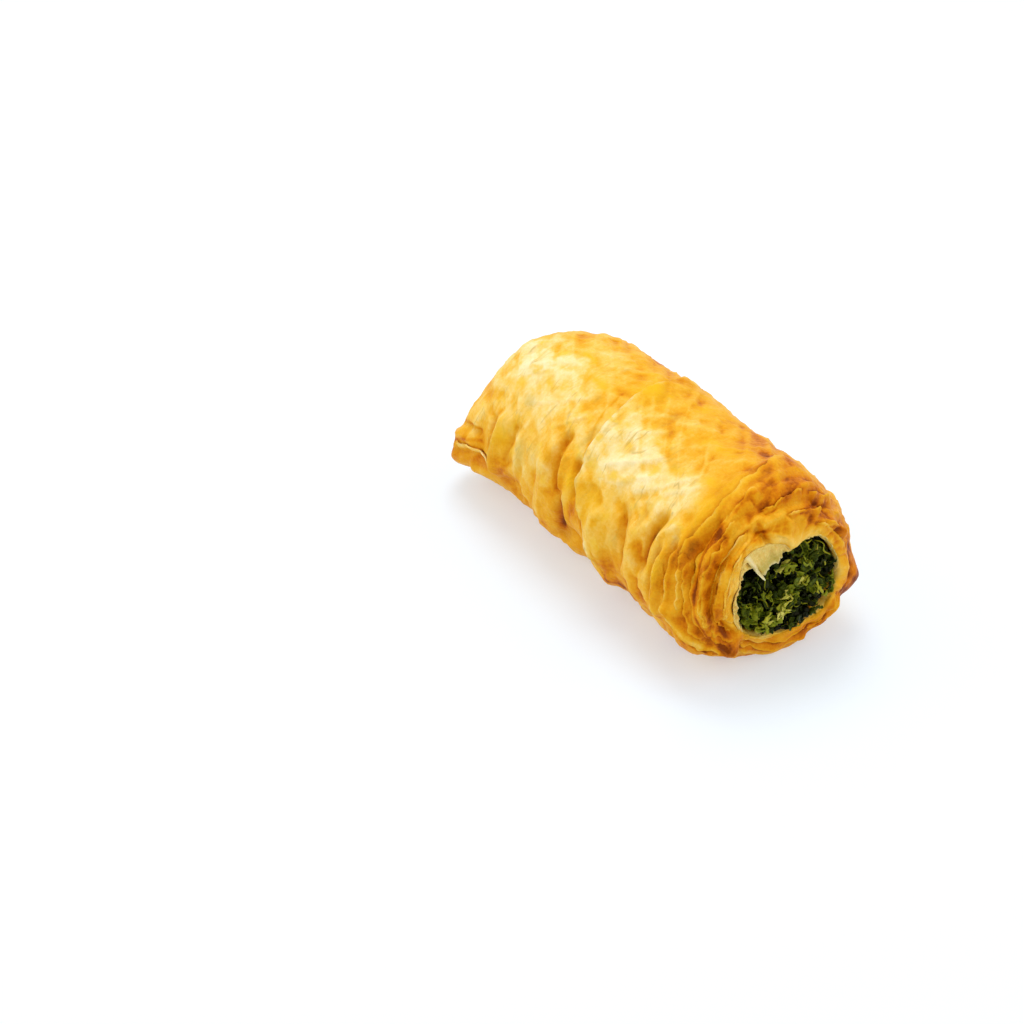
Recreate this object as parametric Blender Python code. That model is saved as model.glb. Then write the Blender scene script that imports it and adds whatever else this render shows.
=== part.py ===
"""A baked borek roll: thin pastry sheets rolled round chopped spinach, open at its near end.

Two solids, in metres, +Z up. The roll lies along X on a flat base at Z = 0, with its open end at +X
and its pressed, tucked-under end at -X. The origin is the middle of the base.
"""

import math

import bmesh
import bpy
import numpy as np
from mathutils import Matrix, Vector, noise

MM = 0.001

# Driving sizes of the roll
ROLL_LENGTH = 113.3 * MM
ROLL_WIDTH = 54.0 * MM
ROLL_HEIGHT = 46.2 * MM
BASE_SHARE = 0.835  # height of the section's centre, as a share of its half height: the rest is flat
TIP_TAPER = 24.0 * MM  # length over which the closed end comes down
TIP_HEIGHT = 0.55  # share of the height that is left at the closed tip
TIP_WIDTH = 0.89
TIP_DOME = 2.5 * MM
SHOULDER = 17.7 * MM  # length over which the open end rounds in
SHOULDER_FULLNESS = 0.8
SHOULDER_ARC = 22.0 * MM  # the same stretch, measured over the curved pastry

# The mouth of the roll and the tube that the filling lies in
MOUTH_HALF_WIDTH = 16.7 * MM
MOUTH_HALF_HEIGHT = 14.1 * MM
MOUTH_HEIGHT = 22.3 * MM  # of its centre, over the base
TUBE_HALF_WIDTH = 16.2 * MM
TUBE_HALF_HEIGHT = 13.6 * MM
TUBE_END = -42.0 * MM
LIP_DEPTH = 4.0 * MM  # how far in from the rim the mouth's own outline is felt
# Where the mouth is wider or narrower than an ellipse: angle round it, share, and reach in degrees
MOUTH_OUTLINE = (
    (128, 0.26, 19),
    (85, -0.2, 14),  # a flap of pastry that hangs over it
    (25, -0.06, 20),
    (312, 0.1, 18),
)

# How finely the pastry is divided. The body has more rings where there are more folds: each pair is a
# place along it and how many rings lie before that place.
AROUND = 78
DOME_RINGS = 4
BODY_RINGS = 40
RING_STOPS = ((-44 * MM, 4), (-26 * MM, 13), (-16 * MM, 16), (4 * MM, 25), (26 * MM, 32))
SHOULDER_RINGS = 21
SOFTENING = 2

# Filling
GAP = 0.35 * MM
FILLING_NEAR = 55.0 * MM
FILLING_AROUND = 28
FILLING_RINGS = 13
HOLLOW_ANGLE = 138.0  # where the filling has sunk away from the mouth
HOLLOW_DEPTH = 5.5 * MM
LEAF_COUNT = 26
LEAF_SEED = 11
MOST_FORWARD = 56.4 * MM

PASTRY_COLOUR = (0.86, 0.56, 0.16, 1.0)
SPINACH_COLOUR = (0.07, 0.11, 0.02, 1.0)

# Creases of the pastry: place along the roll and angle round it at both ends, how far it bows in between,
# its height, and how wide it is on its two sides, the first being towards the closed end where the angle
# grows. Angles are in degrees, from +Y over the top to -Y. Lengths are in millimetres.
CREASES = (
    # the edge of the second sheet, which laps over the first
    (-9.5, 50, 0.5, 152, -1.6, 1.4, 0.9, 12.0),
    (0.0, 148, 14.0, 196, 0.0, 1.4, 1.0, 7.0),
    # tent-shaped pleat on the near side of the first sheet
    (-10.5, 133, -5.5, 178, 1.2, -2.2, 1.8, 1.5),
    (-5.5, 170, -9.0, 216, -1.0, -1.7, 2.0, 2.6),
    (-12.5, 142, -16.5, 214, -1.6, 1.5, 3.4, 2.2),
    (-7.0, 145, -4.5, 170, 0.0, 1.3, 1.2, 1.3),
    (-2.2, 143, 2.0, 168, 0.0, -1.5, 1.4, 1.0),
    # upright pleat beside the closed end
    (-38.6, 154, -37.6, 186, 0.0, -1.3, 1.2, 1.1),
    (-34.0, 148, -36.5, 202, 0.0, 2.0, 2.8, 2.8),
    (-29.0, 150, -31.5, 186, 0.0, -1.3, 1.8, 1.6),
    (-23.0, 152, -24.5, 190, 0.0, 0.7, 3.0, 3.0),
    # folds of the pinched corner
    (-57.0, 174, -42.0, 186, -0.5, 1.3, 1.6, 1.6),
    (-54.0, 168, -42.5, 174, 0.0, -1.0, 1.2, 1.4),
    (-55.0, 190, -38.0, 190, 0.0, -1.1, 1.6, 1.6),
    # gathered pleats of the second sheet
    (6.5, 150, 9.0, 186, 0.0, -0.7, 2.4, 3.0),
    (12.0, 158, 15.0, 200, 0.0, 0.8, 2.6, 2.4),
    (18.5, 146, 23.5, 186, -0.8, -1.2, 1.8, 2.2),
    (24.5, 150, 29.0, 208, -1.0, 1.1, 2.2, 2.4),
    (34.2, 135, 31.5, 182, 1.0, -2.3, 1.6, 2.0),
    (35.2, 154, 41.2, 136, 0.0, 1.0, 1.2, 1.0),
    (37.2, 152, 36.5, 196, 0.0, -1.3, 1.4, 1.4),
    (39.6, 150, 39.5, 205, 0.0, 1.2, 1.6, 1.4),
    (41.0, 140, 42.0, 184, 0.0, -1.2, 1.0, 0.9),
    (42.0, 150, 44.0, 188, 0.0, 1.2, 1.0, 1.0),
    # the browned hood round the open end
    (37.0, 52, 42.8, 160, -1.8, 1.4, 1.2, 9.0),
    (48.0, 48, 46.5, 128, 0.0, 0.9, 1.6, 2.4),
    (53.0, 50, 50.5, 112, 0.0, -1.0, 1.2, 1.4),
    (46.6, 118, 48.8, 170, 0.0, -1.9, 1.3, 1.2),
    # sheet ends that lie like the rings of an onion round the mouth
    (49.6, 130, 58.0, 234, 0.8, 2.3, 1.1, 1.7),
    (53.0, 122, 55.6, 208, 0.0, -1.8, 1.2, 1.2),
    (56.2, 120, 58.5, 190, 0.6, 1.9, 1.2, 1.2),
    (57.0, 186, 60.0, 216, 0.0, -1.8, 1.3, 1.3),
    (43.0, 176, 57.0, 232, 0.6, 2.8, 1.3, 3.4),
    (54.5, 214, 55.0, 318, 0.0, 1.2, 1.4, 1.6),
    (58.6, 216, 58.6, 322, 0.0, -1.0, 1.0, 1.0),
    (52.5, 113, 61.5, 109, 0.0, -2.0, 1.6, 1.0),
    (55.0, 88, 60.5, 96, 0.0, 1.6, 3.0, 4.0),
    (56.5, 20, 57.5, 84, 0.0, 1.0, 1.0, 1.4),
    # pleats of the side turned away
    (-12.0, -40, -9.0, 54, 2.0, 1.3, 1.1, 9.0),
    (-31.0, -38, -28.0, 40, -1.0, -1.2, 2.2, 2.4),
    (-24.0, -42, -20.0, 36, 1.0, 1.1, 2.6, 2.6),
    (6.0, -36, 10.0, 44, 1.5, -1.3, 2.0, 2.6),
    (21.0, -40, 17.0, 38, -1.0, 1.2, 2.4, 2.6),
    (28.0, -40, 25.0, 34, 0.0, -1.2, 1.8, 2.2),
    (42.0, -36, 40.0, 30, 0.0, 1.1, 1.8, 2.6),
)
MM_PER_DEGREE = 0.45

# Rounded swellings and hollows: place along the roll, angle, height, and reach along and round.
LUMPS = (
    (-55.5, 198, 4.6, 5.5, 15),  # pinched corner of the closed end
    (-54.0, 146, -0.8, 5.0, 12),
    (-48.0, 106, 1.5, 6.0, 18),
    (-46.0, 204, 1.6, 5.0, 10),
    (-40.0, 92, 1.0, 12.0, 24),
    (-58.0, 20, 1.6, 6.0, 20),
    (-29.0, 204, -3.6, 6.0, 12),
    (-13.0, 206, 1.2, 4.5, 12),
    (-1.0, 203, -5.0, 4.5, 12),
    (15.0, 206, 1.3, 5.0, 12),
    (-6.0, 50, 0.6, 20.0, 18),
    (21.0, 54, 1.5, 8.0, 14),
    (36.5, 50, -1.0, 4.0, 12),
    (50.0, 341, 2.8, 5.0, 9),  # pointed corner beside the mouth
    (52.0, 14, -1.4, 6.0, 20),
    (49.0, 40, -1.8, 8.0, 20),
    (45.0, 214, 2.0, 6.0, 11),
    (56.0, 256, -4.6, 6.0, 34),
)


def clear_scene():
    for item in list(bpy.data.objects):
        bpy.data.objects.remove(item, do_unlink=True)


def new_collection(name):
    collection = bpy.data.collections.new(name)
    bpy.context.scene.collection.children.link(collection)
    return collection


def plain_material(name, colour, roughness):
    material = bpy.data.materials.new(name)
    material.use_nodes = True
    shader = material.node_tree.nodes["Principled BSDF"]
    shader.inputs["Base Color"].default_value = colour
    shader.inputs["Roughness"].default_value = roughness
    shader.inputs["Metallic"].default_value = 0.0
    return material


def ease(t):
    """0 below 0, 1 above 1 and smooth between."""
    t = np.clip(t, 0.0, 1.0)
    return t * t * (3.0 - 2.0 * t)


def hump(distance, reach):
    return np.exp(-((distance / reach) ** 2))


def turn_between(angle, middle):
    """Signed degrees from middle to angle, the short way round."""
    return (angle - middle + 180.0) % 360.0 - 180.0


def body_section(x):
    """Half width, half height and centre height of the roll at x, before its folds."""
    tip = np.clip((x + ROLL_LENGTH / 2) / TIP_TAPER, 0.0, 1.0)
    rise = np.sqrt(np.clip(1.0 - (1.0 - tip) ** 2.2, 0.0, 1.0))
    spread = np.sqrt(np.clip(1.0 - (1.0 - np.clip(1.5 * tip, 0.0, 1.0)) ** 2, 0.0, 1.0))
    girth = 1.0 + 0.03 * hump(x - 38 * MM, 10 * MM) - 0.02 * hump(x - 22 * MM, 6 * MM)
    girth -= 0.015 * ease(-x / (50 * MM))
    half_width = ROLL_WIDTH / 2 * (TIP_WIDTH + (1.0 - TIP_WIDTH) * spread) * girth
    half_height = ROLL_HEIGHT / (1.0 + BASE_SHARE) * (TIP_HEIGHT + (1.0 - TIP_HEIGHT) * rise) * girth
    return half_width, half_height, half_height * BASE_SHARE


def pastry_stations():
    """Rings of the pastry from the closed tip over the outside to the mouth and back down the tube.

    Each row holds x, half width, half height, centre height and the way along the surface.
    """
    tip_x = -ROLL_LENGTH / 2 + TIP_DOME
    near_x = ROLL_LENGTH / 2
    shoulder_x = near_x - SHOULDER
    rows = []
    wide, high, centre = body_section(-ROLL_LENGTH / 2)
    for step in range(DOME_RINGS + 1):
        grow = math.sin(0.5 * math.pi * step / (DOME_RINGS + 1))
        dome_x = tip_x - TIP_DOME * math.sqrt(1.0 - grow * grow)
        rows.append((dome_x, wide * grow, high * grow, centre, tip_x - 0.4 * wide * (1.0 - grow)))
    stops = ((tip_x, 0), *RING_STOPS, (shoulder_x, BODY_RINGS))
    for x in np.interp(np.arange(BODY_RINGS + 1), [n for _, n in stops], [place for place, _ in stops]):
        wide, high, centre = body_section(x)
        rows.append((x, wide, high, centre, x))
    for step in range(1, SHOULDER_RINGS + 1):
        turn = 0.5 * math.pi * step / SHOULDER_RINGS
        left = math.cos(turn) ** SHOULDER_FULLNESS if step < SHOULDER_RINGS else 0.0
        rows.append((
            shoulder_x + SHOULDER * math.sin(turn),
            MOUTH_HALF_WIDTH + (wide - MOUTH_HALF_WIDTH) * left,
            MOUTH_HALF_HEIGHT + (high - MOUTH_HALF_HEIGHT) * left,
            MOUTH_HEIGHT + (centre - MOUTH_HEIGHT) * left,
            shoulder_x + SHOULDER_ARC * step / SHOULDER_RINGS,
        ))
    for depth, shrink in ((0.9, 0.55), (2.6, 0.95), (5.0, 1.0)):
        rows.append((
            near_x - depth * MM,
            MOUTH_HALF_WIDTH + (TUBE_HALF_WIDTH - MOUTH_HALF_WIDTH) * shrink,
            MOUTH_HALF_HEIGHT + (TUBE_HALF_HEIGHT - MOUTH_HALF_HEIGHT) * shrink,
            MOUTH_HEIGHT,
            shoulder_x + SHOULDER_ARC + depth * MM,
        ))
    for x in np.linspace(near_x - 20 * MM, TUBE_END + 2 * MM, 3):
        rows.append((x, TUBE_HALF_WIDTH, TUBE_HALF_HEIGHT, MOUTH_HEIGHT, near_x + 30 * MM))
    rows.append((TUBE_END, 0.0, 0.0, MOUTH_HEIGHT, near_x + 30 * MM))
    return np.array(rows)


def crease_height(along_mm, angle):
    height = np.zeros_like(along_mm)
    for start, start_angle, end, end_angle, bow, tall, first_reach, second_reach in CREASES:
        run, climb = end - start, (end_angle - start_angle) * MM_PER_DEGREE
        length = math.hypot(run, climb)
        across = along_mm - start
        up = (turn_between(angle, 0.5 * (start_angle + end_angle)) * MM_PER_DEGREE) + 0.5 * climb
        part = (across * run + up * climb) / length ** 2
        off = (up * run - across * climb) / length - 4.0 * bow * part * (1.0 - part)
        reach = np.where(off > 0.0, first_reach, second_reach)
        ends = ease(part / 0.16) * ease((1.0 - part) / 0.16)
        height += tall * hump(off, reach) * ends
    return height


def lump_height(along_mm, angle):
    height = np.zeros_like(along_mm)
    for place, lump_angle, tall, reach_along, reach_round in LUMPS:
        close = hump(along_mm - place, reach_along) * hump(turn_between(angle, lump_angle), reach_round)
        height += tall * close
    return height


def crumple(along, angle):
    """Uneven pleating of the sheets: long across the roll, short along it, and stronger on the sides."""
    height = np.zeros_like(along + angle)
    side = 0.35 + 0.65 * ease((np.abs(turn_between(angle, 90.0)) - 25.0) / 45.0)
    for index in np.ndindex(height.shape):
        s, t = along[index] / MM, math.radians(angle[index])
        slant = s + 7.0 * math.cos(t)
        ring = Vector((1.5 * math.cos(t), 1.5 * math.sin(t), slant / 8.0))
        soft = noise.noise(ring)
        sharp = 1.0 - 2.0 * abs(noise.noise(ring * 1.9 + Vector((3.1, 7.7, 1.3))))
        height[index] = soft + 0.45 * (sharp - 0.6)
    return height * side * MM


def softened(height):
    """The heights with each one drawn towards its neighbours round the roll, which rounds off steps."""
    for _ in range(SOFTENING):
        height = 0.5 * height + 0.25 * (np.roll(height, 1, axis=1) + np.roll(height, -1, axis=1))
    return height


def surface_normals(rows):
    """Direction that faces outwards at each ring, as its shares along X and away from the axis."""
    radius = 0.5 * (rows[:, 1] + rows[:, 2])
    along_x, along_r = np.gradient(rows[:, 0]), np.gradient(radius)
    length = np.hypot(along_x, along_r)
    return -along_r / length, along_x / length


def mouth_outline(angle):
    """Share by which the mouth's outline differs from its ellipse at an angle."""
    share = np.zeros_like(angle)
    for middle, amount, reach in MOUTH_OUTLINE:
        share = share + amount * hump(turn_between(angle, middle), reach)
    return share


def pastry_points(rows, angles):
    """Points of the pastry for every ring and every angle round it."""
    along, angle = np.broadcast_arrays(rows[:, 4:5], angles[None, :])
    out_x, out_r = surface_normals(rows)
    mouth_way = ROLL_LENGTH / 2 - SHOULDER + SHOULDER_ARC
    outside = ease((mouth_way + 3 * MM - along) / (4 * MM))
    base = 1.0 - 0.7 * hump(turn_between(angle, 270.0), 22.0)
    folds = (crease_height(along / MM, angle) + lump_height(along / MM, angle)) * MM
    height = softened((folds + crumple(along, angle)) * outside * base)
    shape = 1.0 + mouth_outline(angle) * hump(along - mouth_way, LIP_DEPTH)
    turn = np.radians(angle)
    x = rows[:, 0:1] + out_x[:, None] * height
    y = (rows[:, 1:2] * shape + out_r[:, None] * height) * np.cos(turn)
    z = rows[:, 3:4] + (rows[:, 2:3] * shape + out_r[:, None] * height) * np.sin(turn)
    return np.stack([x, y, np.maximum(z, 0.0)], axis=-1)


def mapped_sphere(name, ring_count, around, place):
    """A sphere whose rings and meridians are laid on a form by place(ring, angle) for each point."""
    mesh = bmesh.new()
    bmesh.ops.create_uvsphere(mesh, u_segments=around, v_segments=ring_count - 1, radius=1.0)
    for vert in mesh.verts:
        tilt = math.acos(max(-1.0, min(1.0, vert.co.z)))
        ring = round(tilt / math.pi * (ring_count - 1))
        step = round(math.atan2(vert.co.y, vert.co.x) / math.tau * around) % around
        vert.co = place(ring, step)
    bmesh.ops.recalc_face_normals(mesh, faces=mesh.faces)
    data = bpy.data.meshes.new(name)
    mesh.to_mesh(data)
    mesh.free()
    return bpy.data.objects.new(name, data)


def make_pastry(collection):
    rows = pastry_stations()
    angles = np.arange(AROUND) * 360.0 / AROUND
    points = pastry_points(rows, angles)
    pastry = mapped_sphere("pastry", len(rows), AROUND, lambda ring, step: points[ring, step])
    collection.objects.link(pastry)
    pastry.data.materials.append(plain_material("baked pastry", PASTRY_COLOUR, 0.55))
    return pastry


def sunk_share(angle):
    """How much the filling has sunk at an angle round its face, from 0 to 1."""
    return float(hump(turn_between(angle, HOLLOW_ANGLE), 38.0))


def free_share(x, angle):
    """Share of the tube's half sizes that is free at x, where the mouth narrows it."""
    narrowed = min(0.0, float(mouth_outline(angle)))
    return 1.0 + 1.1 * narrowed * float(hump(ROLL_LENGTH / 2 - x, LIP_DEPTH))


def filling_core():
    """The packed spinach in its tube, with a lumpy face at the mouth."""
    face_rings = 7
    last = FILLING_RINGS - 1
    tube_x = np.linspace(FILLING_NEAR - 6 * MM, TUBE_END + 3 * MM, last - face_rings)

    def place(ring, step):
        turn = math.tau * step / FILLING_AROUND
        angle = math.degrees(turn)
        if ring < face_rings:
            grow = math.sin(0.5 * math.pi * ring / face_rings)
            spot = Vector((math.cos(turn), math.sin(turn), 0.4)) * grow * 2.6
            x = FILLING_NEAR - 1.2 * MM * grow ** 6 + 1.6 * MM * noise.noise(spot)
            x -= HOLLOW_DEPTH * grow * sunk_share(angle)
        elif ring < last:
            grow = 1.0
            x = tube_x[ring - face_rings]
        else:
            grow = 0.0
            x = TUBE_END + 1.2 * MM
        share = grow * free_share(x, angle)
        y = (TUBE_HALF_WIDTH - GAP) * share * math.cos(turn)
        z = (TUBE_HALF_HEIGHT - GAP) * share * math.sin(turn)
        return Vector((x, y, MOUTH_HEIGHT + z))

    return mapped_sphere("filling", FILLING_RINGS, FILLING_AROUND, place)


def way_back(point):
    """How far a point of the filling has to move to stay clear of the pastry round it."""
    y, z = point.y, point.z - MOUTH_HEIGHT
    wide, high = TUBE_HALF_WIDTH - 2 * GAP, TUBE_HALF_HEIGHT - 2 * GAP
    angle = math.degrees(math.atan2(z / high, y / wide))
    out = math.hypot(y / wide, z / high) / free_share(point.x, angle)
    inwards = 1.0 / out - 1.0 if out > 1.0 else 0.0
    return Vector((min(0.0, MOST_FORWARD - point.x), y * inwards, z * inwards))


def spinach_leaf(index, draw):
    """A crumpled scrap of leaf or stalk, lying in the filling's face."""
    share = (index + 0.5) / LEAF_COUNT
    out, turn = 0.9 * math.sqrt(share), 2.399963 * index
    sunk = out * sunk_share(math.degrees(turn))
    middle = Vector((
        FILLING_NEAR - HOLLOW_DEPTH * sunk + draw.uniform(0.0, 1.9) * MM,
        (TUBE_HALF_WIDTH - 2.0 * MM) * out * math.cos(turn),
        MOUTH_HEIGHT + (TUBE_HALF_HEIGHT - 2.0 * MM) * out * math.sin(turn),
    ))
    stalk = index % 3 == 0
    length = draw.uniform(3.2, 4.4) if stalk else draw.uniform(2.6, 3.5)
    width = draw.uniform(1.0, 1.4) if stalk else draw.uniform(1.7, 2.5)
    thick = draw.uniform(1.0, 1.3) if stalk else draw.uniform(0.9, 1.4)
    spin = Matrix.Rotation(draw.uniform(0.0, math.tau), 4, "X")
    lean = Matrix.Rotation(math.radians(draw.uniform(-35.0, 35.0)), 4, "Z")
    size = Matrix.Diagonal((thick * MM, length * MM, width * MM, 1.0))
    leaf = bmesh.new()
    bmesh.ops.create_icosphere(leaf, subdivisions=2, radius=1.0)
    for vert in leaf.verts:
        vert.co *= 1.0 + 0.34 * noise.noise(vert.co * 1.9 + Vector((index * 5.3, 0.0, 0.0)))
        vert.co = middle + spin @ lean @ size @ vert.co
    for _ in range(6):
        back = max((way_back(vert.co) for vert in leaf.verts), key=lambda way: way.length)
        bmesh.ops.translate(leaf, verts=leaf.verts, vec=back)
    data = bpy.data.meshes.new(f"leaf_{index:02d}")
    leaf.to_mesh(data)
    leaf.free()
    return bpy.data.objects.new(data.name, data)


def island(start):
    """All vertices that hang together with this one."""
    found, ahead = {start}, [start]
    while ahead:
        for edge in ahead.pop().link_edges:
            for vert in edge.verts:
                if vert not in found:
                    found.add(vert)
                    ahead.append(vert)
    return found


def fill_pockets(data):
    """Drops the walls of any closed pocket inside a mesh, which makes it solid there."""
    mesh = bmesh.new()
    mesh.from_mesh(data)
    outside = island(min(mesh.verts, key=lambda vert: vert.co.x))
    bmesh.ops.delete(mesh, geom=[vert for vert in mesh.verts if vert not in outside], context="VERTS")
    mesh.to_mesh(data)
    mesh.free()


def applied(thing):
    """Gives an object the mesh that its modifiers make, and drops them."""
    graph = bpy.context.evaluated_depsgraph_get()
    made = bpy.data.meshes.new_from_object(thing.evaluated_get(graph))
    thing.modifiers.clear()
    thing.data = made
    fill_pockets(made)


def make_filling(collection):
    filling = filling_core()
    collection.objects.link(filling)
    leaves = new_collection("leaves")
    draw = np.random.default_rng(LEAF_SEED)
    for index in range(LEAF_COUNT):
        leaves.objects.link(spinach_leaf(index, draw))
    join = filling.modifiers.new("leaves joined", "BOOLEAN")
    join.operation = "UNION"
    join.solver = "MANIFOLD"
    join.operand_type = "COLLECTION"
    join.collection = leaves
    bpy.context.view_layer.update()
    applied(filling)
    for leaf in list(leaves.objects):
        bpy.data.objects.remove(leaf, do_unlink=True)
    bpy.data.collections.remove(leaves)
    filling.data.materials.clear()
    filling.data.materials.append(plain_material("spinach", SPINACH_COLOUR, 0.4))
    return filling


def centred(solids):
    """Moves the solids along X and Y so that the middle of their common box is over the origin."""
    corners = np.array([vert.co for solid in solids for vert in solid.data.vertices])
    middle = 0.5 * (corners.min(axis=0) + corners.max(axis=0))
    for solid in solids:
        solid.data.transform(Matrix.Translation((-middle[0], -middle[1], 0.0)))


def main():
    clear_scene()
    roll = new_collection("borek")
    solids = [make_pastry(roll), make_filling(roll)]
    centred(solids)
    for solid in solids:
        solid.data.shade_smooth()
        solid.data.set_sharp_from_angle(angle=math.radians(50.0))


main()
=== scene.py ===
"""The looks of a baked borek roll: crisp pastry sheets wound round chopped spinach."""

import math

import bmesh
import bpy
import numpy as np
from mathutils import Matrix, Vector, noise


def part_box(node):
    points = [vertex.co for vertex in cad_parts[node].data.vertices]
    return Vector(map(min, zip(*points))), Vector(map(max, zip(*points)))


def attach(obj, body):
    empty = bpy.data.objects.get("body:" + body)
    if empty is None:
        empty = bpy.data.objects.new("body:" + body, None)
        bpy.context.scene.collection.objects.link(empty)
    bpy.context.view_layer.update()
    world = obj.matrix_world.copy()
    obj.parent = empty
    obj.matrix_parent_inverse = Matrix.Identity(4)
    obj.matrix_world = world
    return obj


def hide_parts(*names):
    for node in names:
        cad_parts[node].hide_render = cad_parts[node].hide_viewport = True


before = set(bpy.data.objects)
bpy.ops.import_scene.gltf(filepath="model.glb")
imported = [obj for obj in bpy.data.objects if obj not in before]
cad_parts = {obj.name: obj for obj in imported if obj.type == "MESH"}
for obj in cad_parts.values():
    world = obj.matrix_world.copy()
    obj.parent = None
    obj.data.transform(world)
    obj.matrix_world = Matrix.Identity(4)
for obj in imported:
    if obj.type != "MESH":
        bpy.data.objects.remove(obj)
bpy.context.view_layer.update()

bl_info = {
    "name": "Baked borek roll",
    "version": (1, 0, 0),
    "blender": (4, 5, 0),
    "location": "3D View > Sidebar > Borek",
    "description": "Dresses a packed borek roll with browned sheets, spinach and studio light",
    "category": "Add Mesh",
}

MM = 0.001

# The plain form of the roll, in millimetres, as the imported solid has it
ROLL_LENGTH = 113.3
ROLL_WIDTH = 54.0
ROLL_HEIGHT = 46.2
BASE_SHARE = 0.835
TIP_TAPER = 24.0
TIP_HEIGHT = 0.55
TIP_WIDTH = 0.89
TIP_DOME = 2.5
TIP_WAY = 0.4  # way over the closed end for each millimetre of its half width
SHOULDER = 17.7
SHOULDER_FULLNESS = 0.8
SHOULDER_ARC = 22.0
MOUTH_HALF_WIDTH = 16.7
MOUTH_HALF_HEIGHT = 14.1
MOUTH_HEIGHT = 22.3
TUBE_HALF_WIDTH = 16.2
TUBE_HALF_HEIGHT = 13.6
TUBE_END = -42.0
TIP_X = -ROLL_LENGTH / 2 + TIP_DOME
SHOULDER_X = ROLL_LENGTH / 2 - SHOULDER
MOUTH_X = ROLL_LENGTH / 2
MOUTH_WAY = SHOULDER_X + SHOULDER_ARC
LIP_DEPTH = 4.0
MOUTH_OUTLINE = ((128, 0.26, 19), (85, -0.2, 14), (25, -0.06, 20), (312, 0.1, 18))
MM_PER_DEGREE = 0.45

# Creases of the pastry: way along the roll and angle round it at both ends, how far it bows in between,
# its height, and how wide it is on its two sides. Angles go from +Y over the top to -Y.
CREASES = (
    # the edge of the second sheet, which laps over the first
    (-9.5, 50, 0.5, 152, -1.6, 1.4, 0.9, 12), (0, 148, 14, 196, 0, 1.4, 1, 7),
    # tent-shaped pleat on the near side of the first sheet
    (-10.5, 133, -5.5, 178, 1.2, -1.6, 1.8, 1.7), (-5.5, 170, -9, 216, -1, -1.7, 2, 2.6),
    (-12.5, 142, -16.5, 214, -1.6, 1.5, 3.4, 2.2), (-7, 145, -4.5, 170, 0, 1.3, 1.2, 1.3),
    (-2.2, 143, 2, 168, 0, -1.5, 1.4, 1),
    # upright pleat beside the closed end
    (-38.6, 154, -37.6, 186, 0, -1.3, 1.2, 1.1), (-34, 148, -36.5, 202, 0, 2, 2.8, 2.8),
    (-29, 150, -31.5, 186, 0, -1.3, 1.8, 1.6), (-23, 152, -24.5, 190, 0, 0.7, 3, 3),
    # folds of the pinched corner
    (-57, 174, -42, 186, -0.5, 1.3, 1.6, 1.6), (-54, 168, -42.5, 174, 0, -1, 1.2, 1.4),
    (-55, 190, -38, 190, 0, -1.1, 1.6, 1.6),
    # gathered pleats of the second sheet
    (6.5, 150, 9, 186, 0, -0.7, 2.4, 3), (12, 158, 15, 200, 0, 0.8, 2.6, 2.4),
    (18.5, 146, 23.5, 186, -0.8, -1.2, 1.8, 2.2), (24.5, 150, 29, 208, -1, 1.1, 2.2, 2.4),
    (34.2, 135, 31.5, 182, 1, -1.6, 1.7, 2), (35.2, 154, 41.2, 136, 0, 1, 1.2, 1),
    (37.2, 152, 36.5, 196, 0, -1.3, 1.4, 1.4), (39.6, 150, 39.5, 205, 0, 1.2, 1.6, 1.4),
    (41, 140, 42, 184, 0, -1.2, 1, 0.9), (42, 150, 44, 188, 0, 1.2, 1, 1),
    # the browned hood round the open end
    (37, 52, 42.8, 160, -1.8, 1.4, 1.2, 9), (48, 48, 46.5, 128, 0, 0.9, 1.6, 2.4),
    (53, 50, 50.5, 112, 0, -1, 1.2, 1.4), (46.6, 118, 48.8, 170, 0, -1.9, 1.3, 1.2),
    # sheet ends that lie like the rings of an onion round the mouth
    (49.6, 130, 58, 234, 0.8, 2.3, 1.1, 1.7), (53, 122, 55.6, 208, 0, -1.8, 1.2, 1.2),
    (56.2, 120, 58.5, 190, 0.6, 1.9, 1.2, 1.2), (57, 186, 60, 216, 0, -1.8, 1.3, 1.3),
    (43, 176, 57, 232, 0.6, 2.8, 1.3, 3.4), (54.5, 214, 55, 318, 0, 1.2, 1.4, 1.6),
    (58.6, 216, 58.6, 322, 0, -1, 1, 1), (52.5, 113, 61.5, 109, 0, -2, 1.6, 1),
    (55, 88, 60.5, 96, 0, 1.6, 3, 4), (56.5, 20, 57.5, 84, 0, 1, 1, 1.4),
    # pleats of the side turned away
    (-12, -40, -9, 54, 2, 1.3, 1.1, 9), (-31, -38, -28, 40, -1, -1.2, 2.2, 2.4),
    (-24, -42, -20, 36, 1, 1.1, 2.6, 2.6), (6, -36, 10, 44, 1.5, -1.3, 2, 2.6),
    (21, -40, 17, 38, -1, 1.2, 2.4, 2.6), (28, -40, 25, 34, 0, -1.2, 1.8, 2.2),
    (42, -36, 40, 30, 0, 1.1, 1.8, 2.6),
)

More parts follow.
